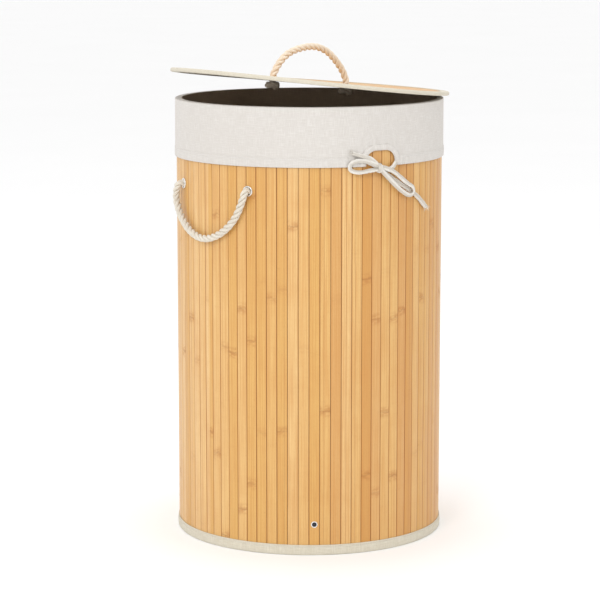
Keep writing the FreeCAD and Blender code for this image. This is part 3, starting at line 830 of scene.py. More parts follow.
class Patch:
    """Collects the points, faces and cloth lengths of one piece, then makes its mesh."""

    def __init__(self) -> None:
        """Starts empty."""
        self.points: list[Vector] = []
        self.faces: list[tuple[int, ...]] = []
        self.lengths: Pairs = []

    def grid(self, rows: Sequence[Sequence[Vector]], rows_close: bool = False,
             round_closes: bool = False, capped: bool = False) -> None:
        """Adds a net of four-sided faces.

        Args:
            rows: Rows with the same number of points.
            rows_close: Whether the last row joins the first.
            round_closes: Whether each row's last point joins its first.
            capped: Whether the first and last rows are filled.
        """
        base = len(self.points)
        count, width = len(rows), len(rows[0])
        for row in rows:
            self.points.extend(row)
        across = running_lengths(rows[count // 2], round_closes)
        along = running_lengths([row[0] for row in rows], rows_close)
        for number in range(count if rows_close else count - 1):
            for column in range(width if round_closes else width - 1):
                self._four(base, number, column, count, width, across, along)
        if capped:
            for number in (0, count - 1):
                self.faces.append(tuple(base + number * width + column for column in range(width)))
                self.lengths.extend((across[column], along[number]) for column in range(width))

    def _four(self, base: int, number: int, column: int, count: int, width: int,
              across: Sequence[float], along: Sequence[float]) -> None:
        """Adds one face of a net."""
        below, beside = (number + 1) % count, (column + 1) % width
        self.faces.append((base + number * width + column, base + number * width + beside,
                           base + below * width + beside, base + below * width + column))
        near, far = across[column], across[column + 1]
        low, high = along[number], along[number + 1]
        self.lengths.extend(((near, low), (far, low), (far, high), (near, high)))

    def make(self, name: str, finish: Finish, sharp: float = SOFT_EDGE) -> bpy.types.Object:
        """Makes the mesh object.

        Args:
            name: Its name.
            finish: Its finish.
            sharp: Angle in degrees past which an edge stays crisp.

        Returns:
            The object, in the scene.
        """
        mesh = bpy.data.meshes.new(name)
        mesh.from_pydata([tuple(point) for point in self.points], [], self.faces)
        layer = mesh.uv_layers.new(name=CLOTH_MAP)
        layer.data.foreach_set("uv", [number for pair in self.lengths for number in pair])
        net = bmesh.new()
        net.from_mesh(mesh)
        bmesh.ops.remove_doubles(net, verts=net.verts, dist=MERGE_DISTANCE)
        bmesh.ops.recalc_face_normals(net, faces=net.faces)
        net.to_mesh(mesh)
        net.free()
        return shown(name, mesh, finish, sharp)


def shown(name: str, mesh: bpy.types.Mesh, finish: Finish, sharp: float) -> bpy.types.Object:
    """Puts a mesh in the scene in its finish.

    Args:
        name: The object's name.
        mesh: Its mesh.
        finish: Its finish.
        sharp: Angle in degrees past which an edge stays crisp.

    Returns:
        The object.
    """
    mesh.shade_smooth()
    mesh.set_sharp_from_angle(angle=math.radians(sharp))
    mesh.materials.clear()
    mesh.materials.append(finish.material())
    made = bpy.data.objects.new(name, mesh)
    bpy.context.scene.collection.objects.link(made)
    return made


def settle(piece: bpy.types.Object, body: Body, *nodes: str) -> bpy.types.Object:
    """Lets a finished piece ride on a body and stand for its CAD nodes.

    Args:
        piece: The piece.
        body: The body it rides on.
        nodes: The CAD nodes that it replaces.

    Returns:
        The piece.
    """
    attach(piece, body.value)
    if nodes:
        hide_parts(*nodes)
    LOG.info("%s: %d points, rides %s", piece.name, len(piece.data.vertices), body.value)
    return piece


def kept_node(name: str, finish: Finish) -> None:
    """Keeps a CAD node's shape and gives it its finish.

    Args:
        name: The node.
        finish: Its finish.
    """
    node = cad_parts[name]
    node.data.materials.clear()
    node.data.materials.append(finish.material())
    LOG.info("%s: kept", name)


def softened_slats(node: str, name: str, finish: Finish,
                   reshape: Optional[Reshape] = None) -> bpy.types.Object:
    """Slats of a CAD node with their sharp edges eased.

    Args:
        node: The node whose slats are copied.
        name: Name of the new piece.
        finish: Its finish.
        reshape: Where each point goes, if the slats are bent. Long slats are then cut shorter.

    Returns:
        The new piece.
    """
    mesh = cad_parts[node].data.copy()
    net = bmesh.new()
    net.from_mesh(mesh)
    bmesh.ops.remove_doubles(net, verts=net.verts, dist=MERGE_DISTANCE)
    crisp = [edge for edge in net.edges
             if len(edge.link_faces) == 2 and edge.calc_face_angle(0.0) > SLAT_CORNER]
    bmesh.ops.bevel(net, geom=crisp, offset=SLAT_EASE, segments=2, profile=0.6, affect="EDGES",
                    clamp_overlap=True)
    if reshape:
        for cut in between(-SLAT_CUT_REACH, SLAT_CUT_REACH, SLAT_CUTS):
            bmesh.ops.bisect_plane(net, geom=net.verts[:] + net.edges[:] + net.faces[:],
                                   plane_co=(cut, 0.0, LID_SEAT), plane_no=(1.0, 0.0, 0.0))
        for point in net.verts:
            point.co = reshape(point.co)
    net.to_mesh(mesh)
    net.free()
    return shown(name, mesh, finish, HARD_EDGE)


def smooth_route(points: Sequence[Vector]) -> list[Vector]:
    """Smooth line that a cord or rope takes past its route's points.

    Args:
        points: The route's points, as the control points of the line.

    Returns:
        The line's points.
    """
    curve = bpy.data.curves.new("route", "CURVE")
    curve.dimensions = "3D"
    curve.resolution_u = ROUTE_FINENESS
    spline = curve.splines.new("NURBS")
    spline.points.add(len(points) - 1)
    for control, place in zip(spline.points, points):
        control.co = (*place, 1.0)
    spline.order_u = 3
    spline.use_endpoint_u = True
    holder = bpy.data.objects.new("route", curve)
    mesh = bpy.data.meshes.new_from_object(holder)
    line = [vertex.co.copy() for vertex in mesh.vertices]
    bpy.data.objects.remove(holder)
    bpy.data.curves.remove(curve)
    bpy.data.meshes.remove(mesh)
    return line


def evenly(line: Sequence[Vector], step: float) -> list[Vector]:
    """The same line with its points evenly spaced.

    Args:
        line: Points of the line.
        step: Distance wanted between points.

    Returns:
        The new points, with the same two ends.
    """
    lengths = running_lengths(line, False)
    count = max(3, round(lengths[-1] / step))
    spaced, segment = [], 0
    for number in range(count + 1):
        wanted = lengths[-1] * number / count
        while segment < len(line) - 2 and lengths[segment + 1] < wanted:
            segment += 1
        gap = max(1e-9, lengths[segment + 1] - lengths[segment])
        spaced.append(line[segment].lerp(line[segment + 1], (wanted - lengths[segment]) / gap))
    return spaced


@dataclass
class Station:
    """Place on a line, with two directions square to the line and the distance from its start."""

    place: Vector
    side: Vector
    up: Vector
    distance: float


def stations(line: Sequence[Vector], outward: Optional[Reshape] = None) -> list[Station]:
    """Stations along a line that don't spin about it.

    Args:
        line: Evenly spaced points.
        outward: Gives the direction that a station's up keeps to, if any.

    Returns:
        One station a point.
    """
    lengths = running_lengths(line, False)
    up = ANY_WAY
    found = []
    for number, place in enumerate(line):
        tangent = (line[min(number + 1, len(line) - 1)] - line[max(number - 1, 0)]).normalized()
        wanted = outward(place) if outward else up
        up = (wanted - tangent * wanted.dot(tangent)).normalized()
        found.append(Station(place, tangent.cross(up), up, lengths[number]))
    return found


def away_from_wall(place: Vector) -> Vector:
    """Level direction away from the hamper's axis."""
    return Vector((place.x, place.y, 0.0)).normalized()


@dataclass(frozen=True)
class TwistedRope:
    """Three-strand rope."""

    radius: float = ROPE_DIAMETER / 2.0
    lay: float = 0.0290
    strands: int = 3
    strand_share: float = 0.495
    strand_spread: float = 1.14
    unevenness: float = 0.03
    step: float = 0.0011
    ring: int = 14

    def build(self, name: str, line: Sequence[Vector], finish: Finish) -> bpy.types.Object:
        """Lays the strands round a line.

        Args:
            name: Name of the rope.
            line: The line that it follows.
            finish: Its finish.

        Returns:
            The rope.
        """
        patch = Patch()
        path = stations(evenly(line, self.step))
        for strand in range(self.strands):
            rows = [self._strand_ring(station, strand) for station in path]
            patch.grid(rows, round_closes=True, capped=True)
        return patch.make(name, finish)

    def _strand_ring(self, station: Station, strand: int) -> list[Vector]:
        """Ring of points round one strand, starting at its outermost."""
        angle = -math.tau * (station.distance / self.lay + strand / self.strands)
        outward = station.side * math.cos(angle) + station.up * math.sin(angle)
        beside = station.up * math.cos(angle) - station.side * math.sin(angle)
        thick = self.radius * self.strand_share
        centre = station.place + outward * (self.radius - thick)
        spot = Vector((station.distance * 160.0, strand * 3.0, 0.5))
        uneven = 1.0 + self.unevenness * noise.noise(spot)
        ring = []
        for number in range(self.ring):
            turn = math.tau * number / self.ring
            flat = outward * math.cos(turn) + beside * (self.strand_spread * math.sin(turn))
            ring.append(centre + flat * (thick * uneven))
        return ring


@dataclass(frozen=True)
class SoftCord:
    """Soft woven cord that flattens a little and has a lengthwise crease."""

    half_width: float = 0.0034
    half_thickness: float = 0.0018
    sway: float = 0.5
    swell: float = 0.1
    crease: float = 0.30
    crease_width: float = 0.09
    crumple: float = 0.11
    step: float = 0.001
    ring: int = 18

    def build(self, name: str, line: Sequence[Vector], finish: Finish, spin: float = 0.0,
              seed: float = 0.0) -> bpy.types.Object:
        """Runs the cord along a line.

        Args:
            name: Name of the cord.
            line: The line that it follows.
            finish: Its finish.
            spin: Turns that its flat side makes from end to end.
            seed: Makes its creases differ from another cord's.

        Returns:
            The cord.
        """
        patch = Patch()
        path = stations(evenly(line, self.step), away_from_wall)
        whole = path[-1].distance
        rows = []
        for station in path:
            turn = math.tau * spin * station.distance / whole
            turn += self.sway * noise.noise(Vector((station.distance * 40.0, seed, 1.7)))
            rows.append(self._ring(station, turn, seed))
        patch.grid(rows, round_closes=True, capped=True)
        return patch.make(name, finish)

    def _ring(self, station: Station, turn: float, seed: float) -> list[Vector]:
        """Ring of points round the cord at a station."""
        side = station.side * math.cos(turn) + station.up * math.sin(turn)
        up = station.up * math.cos(turn) - station.side * math.sin(turn)
        swell = 1.0 + self.swell * noise.noise(Vector((station.distance * 120.0, seed, 4.2)))
        ring = []
        for number in range(self.ring):
            angle = math.tau * number / self.ring
            crease = self.crease * math.exp(-((math.sin(angle) - 1.0) / self.crease_width) ** 2)
            spot = Vector((station.distance * 420.0, math.cos(angle) * 1.5, seed))
            reach = swell + self.crumple * noise.noise(spot)
            ring.append(station.place + side * (self.half_width * reach * math.cos(angle))
                        + up * (self.half_thickness * (reach - crease) * math.sin(angle)))
        return ring


@dataclass(frozen=True)
class Tuft:
    """Loose fibres at the cut end of a cord or rope."""

    fibres: int
    reach: float
    thick: float
    spread: float
    sunk: float = 0.0012
    joints: int = 6
    corners: tuple[float, ...] = (0.0, 1.26, 2.51, 3.77, 5.03)

    def build(self, name: str, tip: Vector, heading: Vector, finish: Finish) -> bpy.types.Object:
        """Grows the fibres.

        Args:
            name: Name of the tuft.
            tip: End of the cord.
            heading: Direction that the cord ends in.
            finish: Their finish.

        Returns:
            The tuft.
        """
        chance = random.Random(name)
        patch = Patch()
        heading = heading.normalized()
        side = heading.orthogonal().normalized()
        other = heading.cross(side)
        for _ in range(self.fibres):
            angle = chance.uniform(0.0, math.tau)
            out = side * math.cos(angle) + other * math.sin(angle)
            root = tip - heading * self.sunk + out * (self.thick * math.sqrt(chance.random()))
            length = self.reach * chance.uniform(0.55, 1.0)
            bend = out * (self.spread * chance.uniform(0.2, 1.0) * length)
            rows = []
            for share in between(0.0, 1.0, self.joints):
                middle = root + heading * (length * share) + bend * (share * share)
                width = 0.14 * self.thick * (1.0 - 0.7 * share)
                rows.append([middle + (side * math.cos(corner) + other * math.sin(corner)) * width
                             for corner in self.corners])
            patch.grid(rows, round_closes=True, capped=True)
        return patch.make(name, finish)


def unruffled(place: Vector) -> float:
    """Extra radius of cloth that is stretched flat: none."""
    return 0.0


def turned_cloth(profile: Section, turns: Sequence[float], closed: bool,
                 swell: Swell = unruffled) -> Patch:
    """Cloth laid round the hamper's axis from a closed section.

    Args:
        profile: Radius and height of each point round the section.
        turns: Turns in degrees at which the section stands.
        closed: Whether the cloth goes all the way round.
        swell: Extra radius at a point.

    Returns:
        The cloth, not yet made.
    """
    rows = []
    for radius, height in profile:
        row = []
        for turn in turns:
            place = wall_point(turn, radius, height)
            row.append(wall_point(turn, radius + swell(place), height))
        rows.append(row)
    patch = Patch()
    patch.grid(rows, rows_close=True, round_closes=closed)
    if not closed:
        for column in (0, len(turns) - 1):
            patch.faces.append(tuple(number * len(turns) + column for number in range(len(rows))))
            patch.lengths.extend((0.0, 0.0) for _ in rows)
    return patch


def all_round(count: int) -> list[float]:
    """Evenly spaced turns in degrees."""
    return [360.0 * number / count for number in range(count)]


def between(start: float, end: float, count: int) -> list[float]:
    """Evenly spaced numbers from one to another, both included."""
    return [start + (end - start) * number / (count - 1) for number in range(count)]


def sleeve(outer: float, inner: float, heights: Sequence[float]) -> Pairs:
    """Section of an upright sleeve: up its outer face and down its inner one."""
    return [(outer, height) for height in heights] + [(inner, height) for height in reversed(heights)]


@dataclass(frozen=True)
class Fold:
    """Binding folded round an edge of the wall, with a rounded fold and two raw edges."""

    inner: float
    outer: float
    closed_edge: float
    open_edge: float
    cloth: float
    corner: float = 0.0016
    inside_ease: float = 0.6
    leg_points: int = 9

    def section(self) -> Section:
        """Radius and height of each point round the section."""
        sign = 1.0 if self.open_edge > self.closed_edge else -1.0
        middle = (self.inner + self.outer) / 2.0
        corner = min(self.corner, (self.outer - self.inner) / 3.0)
        inside = self.closed_edge + sign * self.cloth
        eased = corner * self.inside_ease

        def leg(radius: float, start: float, end: float) -> Pairs:
            """Points up or down one face."""
            return [(radius, height) for height in between(start, end, self.leg_points)]

        def bend(radius: float, side: float) -> Pairs:
            """Rounded corner from a face to the fold; side is 1 outside and -1 inside."""
            points = []
            for angle in (20.0, 45.0, 70.0):
                turn = math.radians(angle)
                points.append((radius - side * corner * (1.0 - math.cos(turn)),
                               self.closed_edge + sign * corner * (1.0 - math.sin(turn))))
            return points

        outside = leg(self.outer, self.open_edge, self.closed_edge + sign * corner)
        outside += bend(self.outer, 1.0) + [(middle, self.closed_edge)]
        outside += bend(self.inner, -1.0)[::-1]
        outside += leg(self.inner, self.closed_edge + sign * corner, self.open_edge)
        back = leg(self.inner + self.cloth, self.open_edge, inside + sign * eased)
        back += [(self.inner + self.cloth + eased, inside), (middle, inside),
                 (self.outer - self.cloth - eased, inside)]
        back += leg(self.outer - self.cloth, inside + sign * eased, self.open_edge)
        return outside + back


# ---- Wall and base ------------------------------------------------------------------------------

@dataclass
class Grommet:
    """Hollow rivet with two rolled lips, through the wall along a radius."""

    bore: float
    barrel: float
    flange: float
    metal: float
    inner_face: float
    outer_face: float
    plug_faces: tuple[float, float] = (0.0020, 0.0013)
    lip_points: int = 11
    ring: int = 56

    def add(self, patch: Patch, turn: float, height: float) -> None:
        """Adds one grommet to a patch at a turn and a height."""
        rows = [self._circle(turn, height, along, radius) for along, radius in self._profile()]
        patch.grid(rows, rows_close=True, round_closes=True)

    def plug(self, patch: Patch, turn: float, height: float) -> None:
        """Adds the disc that closes a grommet's bore, which is given a dark finish as painted shade of
        the hollow.
        """
        rows = [self._circle(turn, height, self.outer_face - depth, self.bore + CLEARANCE)
                for depth in self.plug_faces]
        patch.grid(rows, round_closes=True, capped=True)

    def _circle(self, turn: float, height: float, along: float, radius: float) -> list[Vector]:
        """Circle of points square to a radius of the hamper.

        Args:
            turn: Turn of the hamper's radius.
            height: Height of the circle's middle.
            along: Distance of the middle from the hamper's axis.
            radius: Radius of the circle.

        Returns:
            The points.
        """
        outward = wall_point(turn, 1.0, 0.0)
        beside = Vector((-outward.y, outward.x, 0.0))
        centre = wall_point(turn, along, height)
        points = []
        for angle in all_round(self.ring):
            spin = math.radians(angle)
            points.append(centre + (beside * math.cos(spin) + UP * math.sin(spin)) * radius)
        return points

    def _profile(self) -> Section:
        """Distance from the axis of the hamper and radius of each point round the section."""
        middle = (self.bore + self.flange) / 2.0
        half = (self.flange - self.bore) / 2.0

        def lip(face: float, side: float, start: float, end: float) -> Pairs:
            """Half a ring of points round one lip; side is 1 on the outer face, -1 on the inner."""
            turns = [math.radians(angle) for angle in between(start, end, self.lip_points)]
            return [(face + side * self.metal * math.sin(turn), middle + half * math.cos(turn))
                    for turn in turns]

        lips = lip(self.outer_face, 1.0, 0.0, 180.0) + lip(self.inner_face, -1.0, 180.0, 0.0)
        return lips + [(self.inner_face + CLEARANCE, self.barrel),
                       (self.outer_face - CLEARANCE, self.barrel)]


ROPE_EYELET = Grommet(bore=0.0055, barrel=0.0061, flange=0.0078, metal=0.0012, inner_face=0.1969,
                      outer_face=WALL_RADIUS + CLEARANCE)
FOOT_RIVET = Grommet(bore=0.0034, barrel=0.0040, flange=0.0049, metal=0.0008, inner_face=0.195196,
                     outer_face=0.199957)


@dataclass
class SlatWall:
    """Bamboo wall with its backing, bindings, hoop, base and metal."""

    backing_middle: float = 0.1975
    backing_bottom: float = 0.0011
    backing_drop: float = 0.0008
    top_drop: float = 0.025
    top_inner: float = 0.19246
    top_outer: float = 0.2008
    top_cloth: float = 0.0007
    top_over_edge: float = 0.008
    foot_height: float = 0.0153
    foot_outer: float = 0.2011
    foot_inner: float = 0.196057
    foot_cloth: float = 0.001
    foot_over_edge: float = 0.005
    foot_crown: float = 0.0006
    foot_pucker: float = 0.0005
    skirt_outer: float = 0.195957
    skirt_height: float = 0.070
    floor_height: float = 0.0052
    tray_cloth: float = 0.0006
    seam_turn: float = 92.25
    seam_half_turn: float = 3.5
    seam_top: float = 0.6299
    seam_face: float = 0.197057
    seam_cloth: float = 0.0005
    seam_width: float = 0.024
    rivets: int = 4
    rivet_height: float = 0.046
    rivet_start: float = -130.5

    def build(self) -> None:
        """Builds every piece of the wall and base."""
        slats = softened_slats("wall_slats", "bamboo_wall", WALL_BAMBOO)
        settle(slats, Body.BASKET, "wall_slats")
        self._backing()
        self._seam_tape()
        self._bindings()
        self._base_cover()
        self._metal()
        kept_node("top_hoop", HOOP_WIRE)
        kept_node("base_panel", FIBREBOARD)

    def _backing(self) -> None:
        """Cloth that carries the slats."""
        bottom, top = self.backing_bottom, WALL_HEIGHT - self.backing_drop
        profile = sleeve(BACKING_OUTER, BACKING_INNER, between(bottom, top, 40))
        cloth = turned_cloth(profile, all_round(160), True).make("wall_cloth", BACKING_CLOTH)
        settle(cloth, Body.BASKET, "wall_backing")

    def _seam_tape(self) -> None:
        """Strip over the upright joint of the slat sheet."""
        bottom, top = self.skirt_height + CLEARANCE, self.seam_top
        profile = sleeve(self.seam_face, self.seam_face - self.seam_cloth, between(bottom, top, 60))
        half = self.seam_half_turn
        turns = between(self.seam_turn - half, self.seam_turn + half, 12)
        patch = turned_cloth(profile, turns, False, self._seam_swell)
        tape = patch.make("inside_seam_tape", BACKING_CLOTH)
        settle(tape, Body.BASKET, "seam_tape")

    def _seam_swell(self, place: Vector) -> float:
        """The seam tape puckers a little, inwards."""
        return -0.0002 * ripple(place, 90.0, 60.0, 3.0)

    def _bindings(self) -> None:
        """Tapes folded over the rim and round the foot."""
        rim = Fold(self.top_inner, self.top_outer, WALL_HEIGHT, WALL_HEIGHT - self.top_drop,
                   self.top_cloth)
        foot = Fold(self.foot_inner, self.foot_outer, 0.0, self.foot_height, self.foot_cloth)
        rim_across = 2.0 * self.top_drop + self.top_over_edge
        foot_across = 2.0 * self.foot_height + self.foot_over_edge
        for name, node, fold, steps, swell, across in (
            ("rim_tape", "top_binding", rim, 300, unruffled, rim_across),
            ("foot_tape", "bottom_binding", foot, 420, self._foot_swell, foot_across),
        ):
            patch = turned_cloth(fold.section(), all_round(steps), True, swell)
            tape = patch.make(name, BINDING_TAPE)
            settle(tape, Body.BASKET, node)

    def _foot_swell(self, place: Vector) -> float:
        """The foot tape stands a little proud between its edges."""
        if math.hypot(place.x, place.y) < WALL_RADIUS:
            return 0.0
        crown = math.sin(math.pi * min(1.0, place.z / self.foot_height))
        return self.foot_crown * crown + self.foot_pucker * ripple(place, 70.0, 30.0, 8.0) * crown

    def _base_cover(self) -> None:
        """Cloth tray over the base board."""
        low, inner = self.floor_height, self.skirt_outer - self.tray_cloth
        radii = between(0.0, self.skirt_outer, 24)
        profile = [(radius, low) for radius in radii]
        profile += sleeve(self.skirt_outer, inner, between(low, self.skirt_height, 14)[1:])
        profile += [(min(radius, inner), low + self.tray_cloth) for radius in reversed(radii)]
        tray = turned_cloth(profile, all_round(160), True).make("base_cloth", BACKING_CLOTH)
        settle(tray, Body.BASKET, "base_cover")

    def _metal(self) -> None:
        """Rope eyelets and base rivets."""
        for side, middle in (("left", 180.0), ("right", 0.0)):
            patch = Patch()
            for turn in (middle - EYELET_HALF_TURN, middle + EYELET_HALF_TURN):
                ROPE_EYELET.add(patch, turn, EYELET_HEIGHT)
            pair = patch.make(side + "_rope_eyelets", PLATED)
            settle(pair, Body.BASKET, side + "_eyelets")
        # The discs in the rivets' bores are dark: painted shade of the holes.
        rims, hole_shades = Patch(), Patch()
        for turn in all_round(self.rivets):
            FOOT_RIVET.add(rims, self.rivet_start + turn, self.rivet_height)
            FOOT_RIVET.plug(hole_shades, self.rivet_start + turn, self.rivet_height)
        settle(rims.make("foot_rivets", PLATED), Body.BASKET, "base_rivets")
        settle(hole_shades.make("foot_rivet_hole_shades", RIVET_HOLE_SHADE), Body.BASKET)


# ---- Liner --------------------------------------------------------------------------------------

GATHER_START = 0.030
GATHER_LEFT = 0.024
GATHER_RIGHT = 0.012
GATHER_RISE = 0.022
TUCK_SPACING = 0.0058


@dataclass
class Notch:
    """Arched opening in the cuff, standing on the hem."""

    width: float = 0.048
    rise: float = 0.0225
    corner: float = 0.016

    def outline(self, margin: float, lowest: float, step: float = 0.001) -> Section:
        """The arch grown by a margin, from its left foot to its right.

        Args:
            margin: Growth all round.
            lowest: Height above the hem's bottom that its feet stand at.
            step: Distance between points.

        Returns:
            Offset from the notch's middle and height above the hem's bottom of each point.
        """
        half = self.width / 2.0 + margin
        top = self.rise + margin
        corner = self.corner + margin
        arc = max(4, round(corner * math.pi / 2.0 / step))
        left = []
        if top - corner > lowest:
            count = max(2, round((top - corner - lowest) / step) + 1)
            left = [(-half, height) for height in between(lowest, top - corner, count)]
        for number in range(arc + 1):
            turn = math.pi / 2.0 * number / arc
            place = (-half + corner * (1.0 - math.cos(turn)),
                     top - corner * (1.0 - math.sin(turn)))
            if place[1] > lowest:
                left.append(place)
        level = [(offset, top) for offset in between(-half + corner, half - corner, 18)[1:-1]]
        right = [(-offset, height) for offset, height in reversed(left)]
        return left + level + right


def beside_notch(offset: float, radius: float = WALL_RADIUS) -> float:
    """Turn in degrees of a point at a distance beside the notch's middle."""
    return NOTCH_TURN + math.degrees(math.asin(offset / radius))


def broad_sway(place: Vector) -> float:
    """The broad swell that the cuff and its hem share."""
    return ripple(place, 13.0, 9.0, 1.0)


def gathers(place: Vector, reach: float) -> float:
    """Small tucks that the drawn string pulls into the cloth beside the notch.

    Args:
        place: Point on the cloth.
        reach: Depth of the deepest tuck.

    Returns:
        Extra radius there.
    """
    turn = math.degrees(math.atan2(place.y, place.x)) - NOTCH_TURN
    offset = math.radians((turn + 180.0) % 360.0 - 180.0) * WALL_RADIUS
    beyond = max(0.0, abs(offset) - GATHER_START)
    fade = math.exp(-beyond / (GATHER_LEFT if offset < 0.0 else GATHER_RIGHT))
    waver = 2.0 * noise.noise(place * 40.0)
    tucks = 0.5 + 0.5 * math.sin(offset / TUCK_SPACING * math.pi + waver)
    upward = math.exp(-max(0.0, place.z - HEM_TOP) / GATHER_RISE)
    return reach * fade * tucks * upward


@dataclass
class Liner:
    """Lift-out cloth liner with its cuff, hem, notch and bow."""

    cloth: float = 0.0007
    body_outer: float = 0.1829
    body_top: float = 0.5540
    bottom_corner: float = 0.006
    shoulder: float = 0.6140
    mouth_outer: float = 0.19206
    bottom: float = 0.0070
    bag_cut: float = 1.0
    bag_fold_depth: float = 0.0042
    cuff_inner: float = 0.2012
    cuff_outer: float = 0.2019
    cuff_taut: float = 0.004
    cuff_drop: float = 0.07
    cuff_slack: float = 0.0006
    cuff_tucks: float = 0.0013
    cuff_over_rim: float = 0.0105
    fold_start: float = 0.0011
    hem_face: float = 0.2020
    hem_crown: float = 0.0006
    hem_slack: float = 0.0005
    hem_tucks: float = 0.0022
    hem_depth: float = 0.0145
    band_radius: float = 0.20205
    band_half_thickness: float = 0.00024
    band_half_width: float = 0.0045
    band_gap: float = 10.2
    tape_face: float = 0.2022
    tape_half_thickness: float = 0.0010
    tape_flat: tuple[float, float] = (0.0105, 0.100)
    outer_fold: Section = (
        (0.2017, -0.0005), (0.2012, -0.0001), (0.2005, 0.0), (0.1975, 0.0), (0.19216, 0.0),
    )
    inner_fold: Section = (
        (0.2009, -0.0008), (0.2002, -0.0007), (0.1975, -0.0007), (0.19216, -0.0007),
    )
    binding_width: float = 0.0087

    def build(self) -> None:
        """Builds every cloth piece of the liner."""
        self._bag()
        self._cuff()
        self._hem()
        self._band()
        self._notch_binding()

    def _bag_swell(self, place: Vector) -> float:
        """Soft upright folds of the hanging bag, inwards only."""
        fullness = ease((place.z - self.bottom) / 0.05) * ease((self.shoulder - place.z) / 0.09)
        folds = ripple(place, 34.0, 3.0, 5.0) + 0.5 * ripple(place, 90.0, 7.0, 2.0)
        return -self.bag_fold_depth * fullness * folds

    def _bag(self) -> None:
        """The bag."""
        corner = self.bottom_corner
        outer = [(radius, self.bottom) for radius in between(0.0, self.body_outer - corner, 20)]
        for angle in (25.0, 50.0, 75.0):
            turn = math.radians(angle)
            outer.append((self.body_outer - corner * (1.0 - math.sin(turn)),
                          self.bottom + corner * (1.0 - math.cos(turn))))
        outer += [(self.body_outer, height)
                  for height in between(self.bottom + corner, self.body_top, 60)]
        for share in between(0.1, 1.0, 10):
            outer.append((self.body_outer + (self.mouth_outer - self.body_outer) * ease(share),
                          self.body_top + (self.shoulder - self.body_top) * share))
        outer += [(self.mouth_outer, height) for height in between(self.shoulder + 0.004, RIM_TOP, 8)]
        inner = []
        for radius, height in reversed(outer):
            lift = self.cloth if height < self.bottom + self.cloth else 0.0
            inner.append((max(0.0, radius - self.cloth), height + lift))
        patch = turned_cloth(outer + inner, all_round(220), True, self._bag_swell)
        # The bag's darker, browner cloth is painted shade.
        bag = patch.make("laundry_bag", SHADED_BAG_CLOTH)
        settle(bag, Body.LINER, "liner_bag")

    def _cuff_edge(self) -> Pairs:
        """Turn and height round the cuff's lower edge, over the notch."""
        low = HEM_TOP - HEM_BOTTOM + CLEARANCE
        arch = Notch().outline(self.binding_width * 0.75, low)
        edge = [(beside_notch(offset), HEM_BOTTOM + rise) for offset, rise in arch]
        start = edge[-1][0]
        rest = between(start, edge[0][0] + 360.0, 380)[1:-1]
        return edge + [(turn, HEM_TOP + CLEARANCE) for turn in rest]

    def _cuff_swell(self, place: Vector) -> float:
        """Slack of the cuff, which grows towards the hem."""
        slack = ease((RIM_TOP - self.cuff_taut - place.z) / self.cuff_drop)
        return self.cuff_slack * slack * broad_sway(place) + gathers(place, self.cuff_tucks)

    def _cuff(self) -> None:
        """Cloth folded over the rim and hung outside the wall."""
        edge = self._cuff_edge()
        outside = self._cuff_rows(edge, self.cuff_outer) + self._fold_rows(edge, self.outer_fold)
        inside = self._cuff_rows(edge, self.cuff_inner) + self._fold_rows(edge, self.inner_fold)
        patch = Patch()
        patch.grid(outside + inside[::-1], rows_close=True, round_closes=True)
        cuff = patch.make("fold_over_cuff", CUFF_CLOTH)
        settle(cuff, Body.LINER, "liner_cuff")

    def _cuff_rows(self, edge: Section, face: float) -> list[list[Vector]]:
        """Rows up one face of the cuff, from its lower edge to the start of the fold.

        Args:
            edge: Turn and height round the lower edge.
            face: Radius of the face.

        Returns:
            The rows.
        """
        top = RIM_TOP - self.fold_start
        rows = []
        for share in between(0.0, 1.0, 26):
            row = []
            for turn, height in edge:
                level = height + (top - height) * share
                swell = self._cuff_swell(wall_point(turn, face, level))
                row.append(wall_point(turn, face + swell, level))
            rows.append(row)
        return rows

    def _fold_rows(self, edge: Section, section: Section) -> list[list[Vector]]:
        """Rows over the rim to the bag's mouth; the section's heights are above the rim's top."""
        return [[wall_point(turn, radius, RIM_TOP + rise) for turn, _ in edge]
                for radius, rise in section]

    def _hem_swell(self, place: Vector) -> float:
        """Slack and tucks of the hem."""
        if math.hypot(place.x, place.y) < self.cuff_inner + 0.0003:
            return self.hem_slack * broad_sway(place)
        puff = self.hem_slack * ripple(place, 45.0, 20.0, 6.0) + self.hem_slack * broad_sway(place)
        return puff + gathers(place, self.hem_tucks)

    def _hem(self) -> None:
        """Casing that the drawstring runs in."""
        profile = [(self.cuff_inner, HEM_BOTTOM + 0.0005), (0.2017, HEM_BOTTOM),
                   (0.2022, HEM_BOTTOM + 0.0003)]
        for share in between(0.06, 0.97, 14):
            crown = math.sin(math.pi * share) ** 0.6
            profile.append((self.hem_face + self.hem_crown * crown, HEM_BOTTOM + self.hem_depth * share))
        profile += [(self.hem_face, HEM_TOP + CLEARANCE), (self.cuff_inner, HEM_TOP + CLEARANCE)]
        profile += [(self.cuff_inner, height)
                    for height in between(HEM_TOP - 0.002, HEM_BOTTOM + 0.002, 6)]
        half_notch = Notch().width / 2.0
        gap = math.degrees(math.asin((half_notch + self.binding_width * 0.7) / WALL_RADIUS))
        turns = between(NOTCH_TURN + gap, NOTCH_TURN + 360.0 - gap, 900)
        hem = turned_cloth(profile, turns, False, self._hem_swell).make("cuff_casing", HEM_CLOTH)
        settle(hem, Body.LINER, "cuff_hem")

    def _band(self) -> None:
        """Stretch of drawstring that lies flat in the hem."""
        middle = (HEM_BOTTOM + HEM_TOP) / 2.0
        profile = []
        for angle in all_round(15):
            turn = math.radians(angle)
            profile.append((self.band_radius + self.band_half_thickness * math.cos(turn),
                            middle + self.band_half_width * math.sin(turn)))
        turns = between(NOTCH_TURN + self.band_gap, NOTCH_TURN + 360.0 - self.band_gap, 400)
        patch = turned_cloth(profile, turns, False)
        settle(patch.make("casing_drawstring", BOW_COTTON), Body.LINER, "hem_drawstring")

